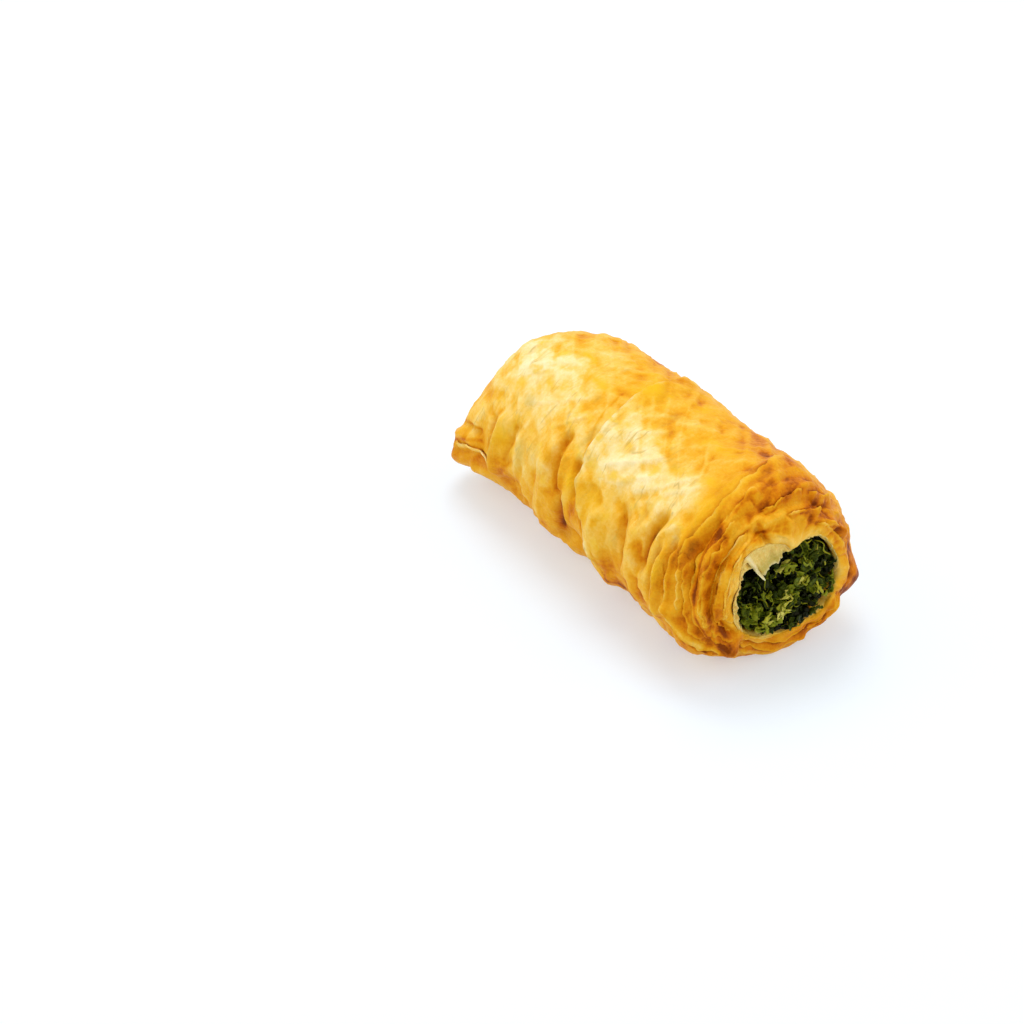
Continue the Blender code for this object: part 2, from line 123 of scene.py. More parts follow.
# Thin creases that only the looks have, given like the others
THIN_CREASES = (
    (2, 128, 14, 100, 0, 0.45, 0.5, 1.3), (5, 142, 21, 112, 0.8, 0.55, 0.5, 1.5),
    (12, 146, 27, 119, -0.6, 0.45, 0.5, 1.2), (18, 142, 34, 111, 0.7, 0.5, 0.5, 1.4),
    (27, 134, 39, 114, 0, 0.45, 0.5, 1.2), (10, 96, 24, 70, 0.8, 0.4, 0.5, 1.4),
    (20, 101, 35, 78, -0.8, 0.5, 0.5, 1.4), (29, 104, 40, 84, 0.4, 0.45, 0.5, 1.2),
    (1, 112, 9, 90, 0.5, 0.4, 0.5, 1), (-31, 140, -13, 112, 0.8, 0.4, 0.5, 1.5),
    (-42, 128, -26, 100, -0.6, 0.4, 0.5, 1.4), (-35, 97, -18, 72, 0.8, 0.4, 0.5, 1.4),
    (-21, 92, -8, 64, -0.5, 0.45, 0.5, 1.2), (-48, 118, -38, 92, 0.4, 0.4, 0.5, 1.2),
    (-18, 143, -9, 122, 0.3, 0.45, 0.5, 1.1), (27, 166, 36, 197, 0.6, 0.55, 0.5, 1.2),
    (20.5, 160, 26, 191, -0.5, 0.55, 0.5, 1.2), (9, 158, 16, 190, 0.4, 0.45, 0.5, 1.2),
    (44.5, 158, 47.4, 186, 0.3, 0.55, 0.5, 0.9), (46.4, 148, 48.6, 176, 0.3, 0.5, 0.4, 0.8),
    (-20, 168, -22.5, 197, 0.5, 0.5, 0.5, 1.1), (-46, 158, -47, 186, 0.5, 0.45, 0.5, 1.1),
    (-2.5, 164, -1, 192, 0.4, 0.5, 0.5, 1), (43, 70, 46, 112, -0.6, 0.45, 0.5, 1.1),
    (46.5, 60, 50, 98, -0.6, 0.45, 0.4, 1), (50, 92, 52, 126, -0.5, 0.45, 0.4, 0.9),
    (51, 32, 54, 66, -0.4, 0.45, 0.4, 0.9), (-30, 20, -14, 52, 0.8, 0.45, 0.5, 1.4),
    (-44, 30, -30, 62, 0.8, 0.45, 0.5, 1.4), (4, 16, 18, 50, 0.8, 0.45, 0.5, 1.4),
    (20, 10, 34, 46, -0.8, 0.45, 0.5, 1.4), (-8, -30, 2, 10, 0.8, 0.45, 0.5, 1.4),
    (30, -34, 40, 4, 0.8, 0.45, 0.5, 1.4), (-40, -32, -28, 8, -0.8, 0.45, 0.5, 1.4),
    (-10.8, 138, -6.2, 176, 1, -0.6, 0.8, 0.6), (-5.2, 166, -8.4, 206, -0.8, -0.6, 0.7, 0.7),
    (-14.6, 150, -17.2, 200, -1, 0.6, 0.6, 1.3), (-38, 158, -37.4, 184, 0, -0.55, 0.7, 0.6),
    (-34.6, 152, -36.8, 198, 0, 0.5, 0.6, 1), (2.6, 156, 9, 192, 0.4, -0.45, 0.7, 0.7),
    (12.2, 164, 14.4, 198, 0, -0.5, 0.7, 0.6), (18.7, 150, 23.2, 184, -0.7, -0.55, 0.7, 0.6),
    (29.4, 158, 33.2, 200, 0.5, -0.6, 0.7, 0.6), (34, 140, 31.8, 180, 0.8, -0.6, 0.7, 0.6),
    (37.2, 156, 36.6, 192, 0, -0.55, 0.6, 0.6), (40.8, 144, 42, 182, 0, -0.5, 0.6, 0.5),
)

# Rounded swellings and hollows: way along the roll, angle, height, and reach along and round
LUMPS = (
    (-55.5, 198, 4.6, 5.5, 15), (-54, 146, -0.8, 5, 12), (-48, 106, 1.5, 6, 18), (-46, 204, 1.6, 5, 10),
    (-40, 92, 1, 12, 24), (-58, 20, 1.6, 6, 20), (-29, 204, -3.6, 6, 12), (-13, 206, 1.2, 4.5, 12),
    (-1, 203, -5, 4.5, 12), (15, 206, 1.3, 5, 12), (-6, 50, 0.6, 20, 18), (21, 54, 1.5, 8, 14),
    (36.5, 50, -1, 4, 12), (50, 341, 2.8, 5, 9), (52, 14, -1.4, 6, 20), (49, 40, -1.8, 8, 20),
    (45, 214, 2, 6, 11), (56, 256, -4.6, 6, 34),
)

# How brown the crust is, from 0 for pale dough to 1 for dark brown: way, angle, change, and reach along
# and round. TOAST_PLAIN is what they are added to.
TOAST_PLAIN = 0.44
TOAST = (
    (-37, 116, -0.3, 15, 26), (-22, 122, -0.16, 12, 26), (12, 128, -0.27, 19, 20),
    (33, 128, -0.2, 8, 17), (-26, 160, -0.15, 13, 17), (24, 172, -0.06, 11, 14),
    (-46, 150, -0.1, 7, 16), (10, 108, -0.1, 12, 16), (0, 196, 0.08, 70, 17), (0, 225, 0.16, 80, 20),
    (0, 300, 0.13, 80, 40), (-49, 190, 0.15, 8, 14), (-57, 190, 0.1, 4, 30), (-34, 190, 0.15, 5, 10),
    (-31, 170, 0.12, 3, 10), (-3, 186, 0.13, 8, 9), (-7, 150, 0.14, 2.4, 9), (33, 156, 0.26, 1.6, 12),
    (38, 188, 0.05, 6, 12), (47, 96, 0.19, 6.5, 62), (54, 60, 0.14, 8, 60), (46, 140, 0.16, 4.5, 22),
    (48.4, 134, 0.24, 1.5, 8), (51.5, 143, 0.16, 1.6, 10), (50, 86, 0.14, 1.6, 5),
    (54, 72, 0.18, 2.4, 5), (52, 178, 0.12, 8, 36), (47, 205, 0.14, 4, 12), (53, 220, 0.1, 3.5, 8),
    (57.6, 198, 0.14, 1.3, 10), (58, 94, -0.08, 3.4, 9), (59, 76, -0.05, 1.6, 6),
    (50, 338, 0.15, 5, 14), (57, 270, 0.21, 6, 60), (55, 340, 0.18, 6, 40), (55, 182, 0.08, 6, 36),
    (62, 0, -0.22, 1.2, 100), (62, 180, -0.22, 1.2, 100), (46, 176, 0.06, 6, 24), (54, 30, 0.12, 6, 30),
    (32, 78, 0.16, 12, 24), (40, 116, 0.05, 4, 18), (0, 20, 0.12, 60, 40), (-2, 62, 0.06, 40, 14),
)

# Thin lines of darker or paler crust, partly browned cracks and streaks, partly painted shade in valleys
# and under sheet edges and painted highlight along ridges: change, width, and the ways and angles that the
# line runs through
LINES = (
    (0.18, 0.48, (-9, 100), (-6, 122), (-1, 142)),
    (0.16, 0.88, (-10, 137), (-9, 155), (-6, 170), (-4.5, 187), (-8, 205)),
    (-0.14, 1.3, (-10, 150), (-12, 175), (-13, 190), (-18, 205)), (0.11, 0.96, (-2, 150), (1, 165)),
    (0.19, 0.64, (-36.5, 150), (-38, 157), (-38, 180), (-37, 190)),
    (0.16, 0.64, (-30, 155), (-29, 165), (-32, 180)), (0.22, 0.56, (-54, 165), (-48, 170), (-43, 172)),
    (0.22, 0.56, (-56, 183), (-50, 181), (-43, 178)), (-0.22, 0.9, (-52, 187), (-45, 185), (-37, 187)),
    (0.19, 0.88, (34, 138), (33, 150), (31, 172)), (-0.16, 1, (34.5, 152), (38, 143), (42, 136)),
    (0.11, 0.72, (37, 154), (37, 178)), (-0.16, 0.8, (40.5, 146), (41.5, 158), (43, 182)),
    (0.13, 0.64, (42.6, 150), (44, 180), (47, 194)), (0.11, 0.64, (18, 150), (20, 166), (23, 184)),
    (0.08, 0.64, (7, 152), (8, 170), (11, 190)),
    (0.21, 0.48, (48, 76), (50, 85), (51, 94), (50.5, 103)),
    (0.21, 0.48, (52, 62), (54, 72), (54.6, 80)),
    (0.16, 0.45, (45.5, 88), (47, 98), (46.6, 108), (48, 116)),
    (0.22, 0.56, (47, 124), (48.4, 136), (49, 152)),
    (-0.16, 0.7, (50, 140), (52, 176), (54, 194), (58, 216)),
    (0.16, 0.48, (48.8, 140), (50.8, 176), (52.8, 194), (56.6, 216)),
    (-0.14, 0.6, (54, 160), (55, 182), (56.4, 202)), (0.13, 0.45, (53, 160), (54, 182), (55.4, 202)),
    (-0.24, 0.6, (44.6, 186), (49, 197), (54, 214)), (0.24, 0.48, (52.5, 110), (56, 109), (60, 109)),
    (0.16, 0.48, (55.4, 236), (54.4, 260), (54.4, 290), (55.4, 316)),
    (0.16, 0.45, (58.2, 226), (57.4, 250), (57.2, 280), (57.8, 310)),
    (0.16, 0.45, (55, 10), (55.6, 30), (56, 52)), (0.22, 0.8, (9, 211), (15, 207), (22, 210)),
    (0.16, 0.6, (-16, 196), (-15, 206), (-12, 214)),
)

# Patches of rich egg yellow, and patches where the filling shows through as a grey green
EGG = (
    (-4, 88, 1, 5.5, 8), (-17, 103, 0.75, 5, 3.5), (-28.5, 93.5, 0.75, 3.2, 2), (-40, 134, 0.5, 3, 2.5),
    (-23, 125, 0.5, 2.2, 3), (9, 72, 0.62, 2, 6), (-10, 74, 0.38, 4, 7), (26, 90, 0.62, 7, 5),
    (14.5, 111, 0.75, 2, 2.2), (24, 116, 0.62, 2, 2), (37, 111, 0.75, 2.4, 2.6),
    (42.5, 122, 0.5, 2.6, 26), (33, 146, 0.75, 1.4, 8), (-33, 160, 0.5, 2.6, 12),
    (-1, 158, 0.62, 2.6, 10), (37, 172, 0.62, 3.5, 12), (10, 160, 0.38, 5, 8),
)
OLIVE = (
    (-34, 122, 0.5, 4.5, 3.5), (-29, 136, 0.6, 4.5, 4.5), (-24, 166, 0.55, 4.5, 12),
    (-4, 131, 0.8, 1.5, 9), (-1.8, 141, 0.9, 1.2, 4), (9, 91, 0.5, 2.5, 3.5), (11, 101, 0.5, 2, 5),
    (16, 131, 0.5, 1.8, 6), (31.5, 126, 0.5, 1.6, 4), (27, 146, 0.4, 1.6, 12), (37, 160, 0.6, 1.2, 6),
    (19, 172, 0.4, 3.5, 8), (-14, 111, 0.5, 3, 2.5), (-20, 158, 0.5, 2.5, 5), (22, 115, 0.4, 3, 3),
)

# Free ends of sheets: how wide a strip shows, on which side of its edge it lies (1 towards the open end),
# how far the edge stands up, and the ways and angles that the edge runs through
SHEET_ENDS = {
    "second_sheet": (8, 1, 0.55, (-10, 34), (-7.5, 70), (-4, 98), (-1, 118), (-0.6, 134), (1, 147),
        (2.6, 158), (6, 169), (10, 179), (13, 192), (15, 208)),
    "corner_lower": (3.5, -1, 0.45, (-53, 182.5), (-50, 184.5), (-44, 183), (-39.5, 187), (-38, 196)),
    "gather_near": (3, 1, 0.5, (41.4, 150), (42.2, 162), (43.6, 177), (44.8, 190)),
    "tuck": (3.2, 1, 0.5, (-58, 20), (-60.2, 45), (-61.2, 90), (-60.2, 135), (-58, 160)),
    "hood_edge": (6, 1, 0.3, (36, 48), (38.6, 68), (41.2, 88), (43.6, 108), (44.4, 126), (43.8, 142),
        (42.8, 156)),
    "flake_upper": (2.6, 1, 0.55, (49.2, 74), (50, 84), (50.6, 94), (50.2, 104)),
    "flake_right": (2.8, 1, 0.55, (47.4, 40), (48.8, 50), (49.6, 60), (49.8, 70)),
    "flake_middle": (2.4, 1, 0.5, (53.2, 60), (54, 70), (54.4, 80), (54, 90)),
    "flake_left": (2.6, 1, 0.5, (45.6, 98), (46.8, 108), (47, 118), (48, 128)),
    "flake_rim": (2.2, 1, 0.5, (55.6, 22), (56.4, 34), (56.8, 46), (56.6, 58)),
    "flake_side": (2.4, 1, 0.45, (43.6, 148), (44.6, 160), (45.8, 172), (47, 184)),
    "flake_low": (1.8, 1, 0.5, (50.4, 150), (51.2, 164), (52.6, 178), (53.6, 190)),
    "gather": (2.6, 1, 0.4, (37.6, 158), (38.4, 170), (39, 184), (40.2, 198)),
    "ring_first": (4.5, 1, 0.7, (46.6, 112), (47.4, 126), (47.4, 140), (47.8, 156), (49.6, 174),
        (52, 192), (55, 208)),
    "ring_second": (3.8, 1, 0.8, (50.2, 122), (50.6, 138), (51, 154), (52.4, 172), (54.2, 190),
        (56.6, 208), (58.6, 224)),
    "ring_outer": (6, 1, 1.2, (43, 174), (44.6, 187), (47.6, 196), (50.8, 205), (54, 215), (56.6, 227),
        (58, 242)),
    "ring_third": (3.2, 1, 0.7, (54.4, 134), (55, 152), (55.4, 170), (56.2, 188), (58.2, 204),
        (60, 218)),
    "ring_inner": (2.4, 1, 0.5, (58, 150), (58.6, 168), (59, 186), (60.2, 202)),
    "ring_thin": (2.4, 1, 0.7, (48.6, 116), (49.2, 130), (49.4, 146), (50.2, 160), (51.4, 176)),
    "ring_outside": (3, 1, 0.7, (45.4, 150), (46.4, 164), (48, 178), (50, 192), (52.6, 206),
        (55.2, 220)),
    "ring_upper": (2.2, 1, 0.7, (52.6, 118), (53, 132), (53.2, 146), (54, 160)),
    "ring_near": (2, 1, 0.6, (56.6, 128), (57, 144), (57.2, 160), (57.8, 178), (59.2, 196)),
    "ring_low": (2.4, 1, 0.8, (53.6, 196), (55.6, 208), (57.4, 222), (58.6, 238)),
    "lip_low": (3, 1, 0.9, (59.6, 222), (58.8, 244), (58.2, 266), (58.2, 288), (58.8, 312), (60, 330)),
    "lip_middle": (3.2, 1, 0.8, (57, 226), (55.8, 246), (55.2, 268), (55.4, 290), (56.2, 312),
        (57.6, 334)),
    "lip_far": (3.4, 1, 0.6, (54, 236), (52.8, 254), (52.2, 274), (52.6, 296), (53.6, 318)),
    "lip_side": (3, 1, 0.4, (58.4, 6), (58.6, 26), (58.4, 46), (58, 66)),
}
STRIP_STEP = 0.55  # from one column of a strip's mesh to the next
STRIP_ROWS = 11
STRIP_LIFT = 0.12  # what keeps a strip clear of the crust
EDGE_SHADE = 0.28  # of the crust below an edge, for each millimetre that the edge stands up
DEEPEST_SHADE = 0.24

# The filling: where its face and its far end are, and how far from the tube it stays
FILLING_FACE = 55.0
FILLING_FRONT = 56.4  # no leaf stands out beyond it
FILLING_BACK = TUBE_END + 1.5
GAP = 0.35
HOLLOW_ANGLE = 138.0  # of the hollow below the hanging film
HOLLOW_DEPTH = 5.5
CAVITY_ANGLE = 152.0  # of the deepest part of the hollow
FULL_ANGLE = 290.0  # where the face stands out furthest
BED_AROUND = 132
BED_RINGS = 70
BED_FACE_RINGS = 52
GOLDEN_ANGLE = 137.508  # from one scrap to the next
SCRAP_COLUMNS = 7
SCRAP_ROWS = 5
SCRAP_THICKNESS = 0.16 * MM
STRAND_AROUND = 6
STRAND_RINGS = 13

# The pale innermost sheet that lines the mouth: how far in towards the middle it reaches at each angle, how
# many degrees it leans, and where it hangs down and is folded
FILM_REACH = (
    (-12, 0.95), (2, 0.95), (20, 0.94), (50, 0.94), (66, 0.88), (76, 0.78), (84, 0.71), (90, 0.65),
    (98, 0.6), (106, 0.6), (114, 0.59), (122, 0.55), (128, 0.49), (130, 0.5), (132, 0.93),
    (144, 0.95), (160, 0.92), (176, 0.88), (192, 0.86), (206, 0.89), (218, 0.93), (230, 0.95),
)
FILM_SKEW = ((106, 0), (122, 12), (130, 15), (132, 0))
FILM_COLUMNS = 330
FILM_ROWS = 14
FILM_HANG_ANGLE = 112.0
FILM_FOLD_ANGLE = 129.2
FILM_MM_PER_DEGREE = 0.28
FILM_THICKNESS = 0.28 * MM

# Colours as screen codes: of the crust from pale dough to dark brown, of the spinach from shade to stalk,
# and of the film, each with its position from 0 to 1
CRUST_COLOURS = ((0, "f9e8b4"), (0.16, "f6da92"), (0.32, "f2c55a"), (0.48, "ebad28"),
                 (0.62, "e29910"), (0.76, "d27a03"), (0.88, "b25c02"), (1, "803801"))
SPECK_COLOUR = "f0c22c"
STREAK_COLOUR = "b89a48"
EGG_COLOUR = "eeb81c"
OLIVE_COLOUR = "b3a356"
# painted shade for the creases, below the sheet ends and inside the mouth
PIT_COLOUR = "a85a10"
SPINACH_COLOURS = ((0, "0a0a03"), (0.2, "1a2006"), (0.4, "384409"), (0.6, "6e780f"), (0.8, "a5a024"),
                   (1, "cfc660"))
FILM_COLOURS = ((0.25, "cfa648"), (0.5, "dfbc60"), (0.75, "efd585"))
FILM_THIN_COLOUR = "a49638"
# painted highlight for the film's free edge and fold ridge
FILM_EDGE_COLOUR = "f6eabc"

# The photograph's camera: where it stands, its lens, and the pixel that shows the roll's middle
VIEW_AZIMUTH = 53.75
VIEW_ELEVATION = 33.23
VIEW_DISTANCE = 0.7569
VIEW_TARGET = Vector((1.08 * MM, 0.37 * MM, 21.0 * MM))
FOCAL_PIXELS = 2902.2
IMAGE_SIDE = 1024
AIM_PIXEL = (652.8, 479.8)
SENSOR = 36.0

# The stage, in metres
FLOOR_HALF = 20.0
FLOOR_DROP = 0.0001
KEY_PLACE = (-0.28, 0.12, 0.78)
KEY_SIZE = 0.45
FILL_PLACE = (-0.25, -0.65, 0.5)
RIM_PLACE = (0.5, 0.5, 0.5)
FILL_SIZE = 0.7
WHITE = (1.0, 1.0, 1.0)
WARM = (1.0, 0.95, 0.86)


def ease(t):
    """0 below 0, 1 above 1 and smooth between."""
    t = np.clip(t, 0.0, 1.0)
    return t * t * (3.0 - 2.0 * t)


def hump(distance, reach):
    return np.exp(-((distance / reach) ** 2))


def crest(distance, reach):
    """Like hump, but sharper at its middle."""
    return np.exp(-(np.abs(distance / reach) ** 1.35))


def turn_between(angle, middle):
    """Signed degrees from middle to angle, the short way round."""
    return (angle - middle + 180.0) % 360.0 - 180.0


def bulge(angle, middle, reach):
    """A hump over the angles round a middle one."""
    return hump(turn_between(angle, middle), reach)


def aside(angle, middle, start, width):
    """0 near a middle angle, and 1 from start + width degrees away from it."""
    return ease((np.abs(turn_between(angle, middle)) - start) / width)


def points_of(x, y, z):
    """Points (N, 3) from their coordinates, any of which may be one number for all."""
    return np.stack(np.broadcast_arrays(x, y, z), axis=-1)


def ripples(points, size, count, seed):
    """A smooth random field over points (N, 3), about -1 to 1, with swells about size long."""
    draw = np.random.default_rng(seed)
    field = np.zeros(len(points))
    for _ in range(count):
        heading = draw.normal(size=3)
        heading *= math.tau / size * draw.uniform(0.6, 1.5) / np.linalg.norm(heading)
        field += np.sin(points @ heading + draw.uniform(0.0, math.tau))
    return field * math.sqrt(2.0 / count) * 0.6


def wrinkles(points, size, seed):
    """Sharp ridges and valleys with flat sides, from about -0.7 to 0.7."""
    return np.abs(ripples(points, size, 7, seed)) - np.abs(ripples(points, 0.9 * size, 7, seed + 40))


# The form of the pastry

def body_section(x):
    """Half width, half height and centre height of the plain roll at x."""
    tip = np.clip((x + ROLL_LENGTH / 2) / TIP_TAPER, 0.0, 1.0)
    rise = np.sqrt(np.clip(1.0 - (1.0 - tip) ** 2.2, 0.0, 1.0))
    spread = np.sqrt(np.clip(1.0 - (1.0 - np.clip(1.5 * tip, 0.0, 1.0)) ** 2, 0.0, 1.0))
    girth = 1.0 + 0.03 * hump(x - 38, 10) - 0.02 * hump(x - 22, 6) - 0.015 * ease(-x / 50)
    half_width = ROLL_WIDTH / 2 * (TIP_WIDTH + (1.0 - TIP_WIDTH) * spread) * girth
    half_height = ROLL_HEIGHT / (1.0 + BASE_SHARE) * (TIP_HEIGHT + (1.0 - TIP_HEIGHT) * rise) * girth
    return half_width, half_height, half_height * BASE_SHARE


def profile(way):
    """x, half width, half height and centre height at a way over the pastry, from its closed tip over the
    outside to the mouth and on into the tube."""
    way = np.asarray(way, float)
    wide, high, centre = body_section(np.clip(way, TIP_X, SHOULDER_X))
    tip_wide, tip_high, tip_centre = (float(size) for size in body_section(np.array(-ROLL_LENGTH / 2)))
    grow = np.clip(1.0 - (TIP_X - way) / (TIP_WAY * tip_wide), 0.0, 1.0)
    over_tip = way < TIP_X
    x = np.where(over_tip, TIP_X - TIP_DOME * np.sqrt(1.0 - grow ** 2), np.minimum(way, SHOULDER_X))
    wide = np.where(over_tip, tip_wide * grow, wide)
    high = np.where(over_tip, tip_high * grow, high)
    centre = np.where(over_tip, tip_centre, centre)
    turn = 0.5 * math.pi * np.clip((way - SHOULDER_X) / SHOULDER_ARC, 0.0, 1.0)
    left = np.clip(np.cos(turn), 0.0, 1.0) ** SHOULDER_FULLNESS
    depth = np.maximum(way - MOUTH_WAY, 0.0)
    shrink = np.interp(depth, (0.0, 0.9, 2.6, 5.0), (0.0, 0.55, 0.95, 1.0))
    mouth_wide = MOUTH_HALF_WIDTH + (TUBE_HALF_WIDTH - MOUTH_HALF_WIDTH) * shrink
    mouth_high = MOUTH_HALF_HEIGHT + (TUBE_HALF_HEIGHT - MOUTH_HALF_HEIGHT) * shrink
    x = np.where(way > SHOULDER_X, SHOULDER_X + SHOULDER * np.sin(turn) - depth, x)
    wide = np.where(way > SHOULDER_X, mouth_wide + (wide - mouth_wide) * left, wide)
    high = np.where(way > SHOULDER_X, mouth_high + (high - mouth_high) * left, high)
    centre = np.where(way > SHOULDER_X, MOUTH_HEIGHT + (centre - MOUTH_HEIGHT) * left, centre)
    return x, wide, high, centre


def facing(way):
    """The direction that faces outwards at a way, as its shares along X and away from the axis."""
    step = 0.4
    x_a, wide_a, high_a, _ = profile(way - step)
    x_b, wide_b, high_b, _ = profile(way + step)
    run, climb = x_b - x_a, 0.5 * (wide_b + high_b - wide_a - high_a)
    length = np.hypot(run, climb) + 1e-9
    return -climb / length, run / length


def crease_height(rows, way, angle):
    """Height of the creases at each way and angle, in millimetres."""
    height = np.zeros_like(way)
    for start, start_angle, end, end_angle, bow, tall, first_reach, second_reach in rows:
        run, climb = end - start, (end_angle - start_angle) * MM_PER_DEGREE
        length = math.hypot(run, climb)
        across = way - start
        up = turn_between(angle, 0.5 * (start_angle + end_angle)) * MM_PER_DEGREE + 0.5 * climb
        part = (across * run + up * climb) / length ** 2
        off = (up * run - across * climb) / length - 4.0 * bow * part * (1.0 - part)
        reach = np.where(off > 0.0, first_reach, second_reach)
        section = (crest if tall > 0.0 else hump)(off, reach)
        height += tall * section * ease(part / 0.16) * ease((1.0 - part) / 0.16)
    return height


def patches(rows, way, angle):
    """Sum of soft round patches at each way and angle."""
    total = np.zeros_like(way)
    for place, middle, amount, reach_along, reach_round in rows:
        total += amount * hump(way - place, reach_along) * bulge(angle, middle, reach_round)
    return total


def lines(rows, way, angle):
    """Sum of thin soft lines at each way and angle."""
    total = np.zeros_like(way)
    for amount, width, *points in rows:
        nearest = np.full_like(way, 1e6)
        for (start, start_angle), (end, end_angle) in zip(points, points[1:]):
            run, climb = end - start, (end_angle - start_angle) * MM_PER_DEGREE
            across, up = way - start, turn_between(angle, start_angle) * MM_PER_DEGREE
            part = np.clip((across * run + up * climb) / (run * run + climb * climb), 0.0, 1.0)
            nearest = np.minimum(nearest, np.hypot(across - part * run, up - part * climb))
        total += amount * hump(nearest, width)
    return total


def crumple(way, angle):
    """Uneven pleating of the sheets: long across the roll, short along it, and stronger on the sides."""
    turn = np.radians(angle)
    rings = points_of(1.5 * np.cos(turn), 1.5 * np.sin(turn), (way + 7.0 * np.cos(turn)) / 8.0)
    shift = Vector((3.1, 7.7, 1.3))
    soft = np.array([noise.noise(ring) for ring in rings])
    sharp = np.array([1.0 - 2.0 * abs(noise.noise(Vector(ring) * 1.9 + shift)) for ring in rings])
    return (soft + 0.45 * (sharp - 0.6)) * (0.35 + 0.65 * aside(angle, 90.0, 25.0, 45.0))


def plain_place(way, angle):
    """Points of the pastry with no relief, which random fields are read at."""
    x, wide, high, centre = profile(way)
    turn = np.radians(angle)
    return points_of(x, wide * np.cos(turn), centre + high * np.sin(turn))


def hood_share(way, angle):
    """Where the crust is the browned, crackled hood, from 0 to 1."""
    start = 42.0 + 3.0 * bulge(angle, 130.0, 40.0) - 4.0 * bulge(angle, 50.0, 30.0)
    over = 1.0 - aside(angle, 85.0, 62.0, 22.0)
    return ease((way - start) / 4.0) * ease((MOUTH_WAY + 1.0 - way) / 3.0) * over


def chart_of(way, angle):
    """The pastry unrolled flat, in millimetres."""
    return points_of(way, angle * MM_PER_DEGREE, 0.0)


def sheared(chart, along, across):
    """The unrolled pastry, stretched and slanted so that wrinkles read from it run one way."""
    return chart @ np.array([[*along, 0.0], [*across, 0.0], [0.0, 0.0, 1.0]])


def off_the_tip(way):
    """0 at the closed tip, where the unrolled pastry runs together, and 1 beside it."""
    return ease((way - TIP_X + 3.0) / 9.0)


def fine_relief(way, angle):
    """Small wrinkles and flakes, in millimetres."""
    points, chart = plain_place(way, angle), chart_of(way, angle)
    streaks = sheared(chart, (0.42, 0.05), (-0.46, 0.08))
    pleats = sheared(chart, (0.45, 0.0), (0.05, 0.09))
    arcs = sheared(chart, (0.8, 0.03), (0.10, 0.14))
    top = ease((115.0 - np.abs(turn_between(angle, 60.0))) / 40.0)
    side = aside(angle, 90.0, 48.0, 25.0)
    warp = 1.6 * ripples(points, 12.0, 8, 8)[:, None]
    height = 0.20 * wrinkles(streaks + 0.3 * warp, 4.0, 3) * top
    height += 0.26 * wrinkles(pleats + 0.3 * warp, 3.6, 5) * side * (0.6 + 0.9 * ease((way - 12.0) / 20.0))
    height += 0.24 * wrinkles(points + warp, 13.0, 7)
    height += 0.07 * wrinkles(points + warp, 4.5, 11)
    height += 0.03 * ripples(points, 2.0, 14, 9)
    height += 0.24 * np.exp(-7.0 * np.abs(ripples(streaks + 0.2 * warp, 6.5, 9, 23))) * top
    height += 0.26 * np.exp(-7.0 * np.abs(ripples(pleats + 0.2 * warp, 5.0, 9, 25))) * side
    height += crease_height(THIN_CREASES, way, angle) - 0.10
    flaky = 0.5 * np.abs(ripples(arcs + 0.5 * warp, 5.5, 8, 26))
    flaky += 0.3 * np.abs(ripples(arcs + 0.4 * warp, 2.6, 8, 27))
    height += hood_share(way, angle) * (0.9 * flaky - 0.3)
    return height * (0.25 + 0.75 * off_the_tip(way))


def relief(way, angle, fine=True):
    """Height of the sheets over the plain roll, in millimetres."""
    outside = ease((MOUTH_WAY + 3.0 - way) / 4.0)
    base = 1.0 - 0.7 * bulge(angle, 270.0, 22.0)
    height = crease_height(CREASES, way, angle) + patches(LUMPS, way, angle) + crumple(way, angle)
    if fine:
        height = height + fine_relief(way, angle)
    return height * outside * base


def mouth_outline(angle):
    """Share by which the mouth's outline differs from its ellipse at an angle."""
    return sum(share * bulge(angle, middle, reach) for middle, share, reach in MOUTH_OUTLINE)


def pastry_place(way, angle, height):
    """Points at a height over the plain pastry, in millimetres."""
    x, wide, high, centre = profile(way)
    out_x, out_r = facing(way)
    shape = 1.0 + mouth_outline(angle) * hump(way - MOUTH_WAY, LIP_DEPTH)
    turn = np.radians(angle)
    y = (wide * shape + out_r * height) * np.cos(turn)
    z = centre + (high * shape + out_r * height) * np.sin(turn)
    return points_of(x + out_x * height, y, np.maximum(z, 0.0))


def box_shift():
    """What moves the form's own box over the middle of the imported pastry, in millimetres."""
    way, angle = np.meshgrid(np.linspace(TIP_X - 9.0, MOUTH_WAY, 110), np.arange(78) * 360.0 / 78)
    way, angle = way.ravel(), angle.ravel()
    points = pastry_place(way, angle, relief(way, angle, fine=False))
    low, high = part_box("pastry")
    middle = 0.5 * (points.min(axis=0) + points.max(axis=0))
    shift = (np.array(low) + np.array(high)) / (2.0 * MM) - middle
    return np.array([shift[0], shift[1], 0.0])


SHIFT = box_shift()


# Meshes

def give_attributes(data, **shares):
    """Stores one number for each vertex under each name."""
    for name, values in shares.items():
        layer = data.attributes.new(name, "FLOAT", "POINT")
        layer.data.foreach_set("value", np.ascontiguousarray(values, np.float32))


def corners_of(data):
    flat = np.empty(len(data.vertices) * 3, np.float32)
    data.vertices.foreach_get("co", flat)
    return flat.reshape(-1, 3).astype(float)


def put_corners(data, points_mm):
    data.vertices.foreach_set("co", np.ascontiguousarray(points_mm * MM, np.float32).ravel())
    data.update()


def new_piece(name, data, material):
    piece = bpy.data.objects.new(name, data)
    bpy.context.scene.collection.objects.link(piece)
    data.materials.append(material)
    data.shade_smooth()
    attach(piece, "root")
    return piece


def thicken(piece, name, thickness):
    """Gives a sheet its thickness, half of it on either side of its mesh."""
    thick = piece.modifiers.new(name, "SOLIDIFY")
    thick.thickness = thickness
    thick.offset = 0.0


def mesh_data(name, mesh):
    """A new mesh from a bmesh, which it frees."""
    data = bpy.data.meshes.new(name)
    mesh.to_mesh(data)
    mesh.free()
    return data


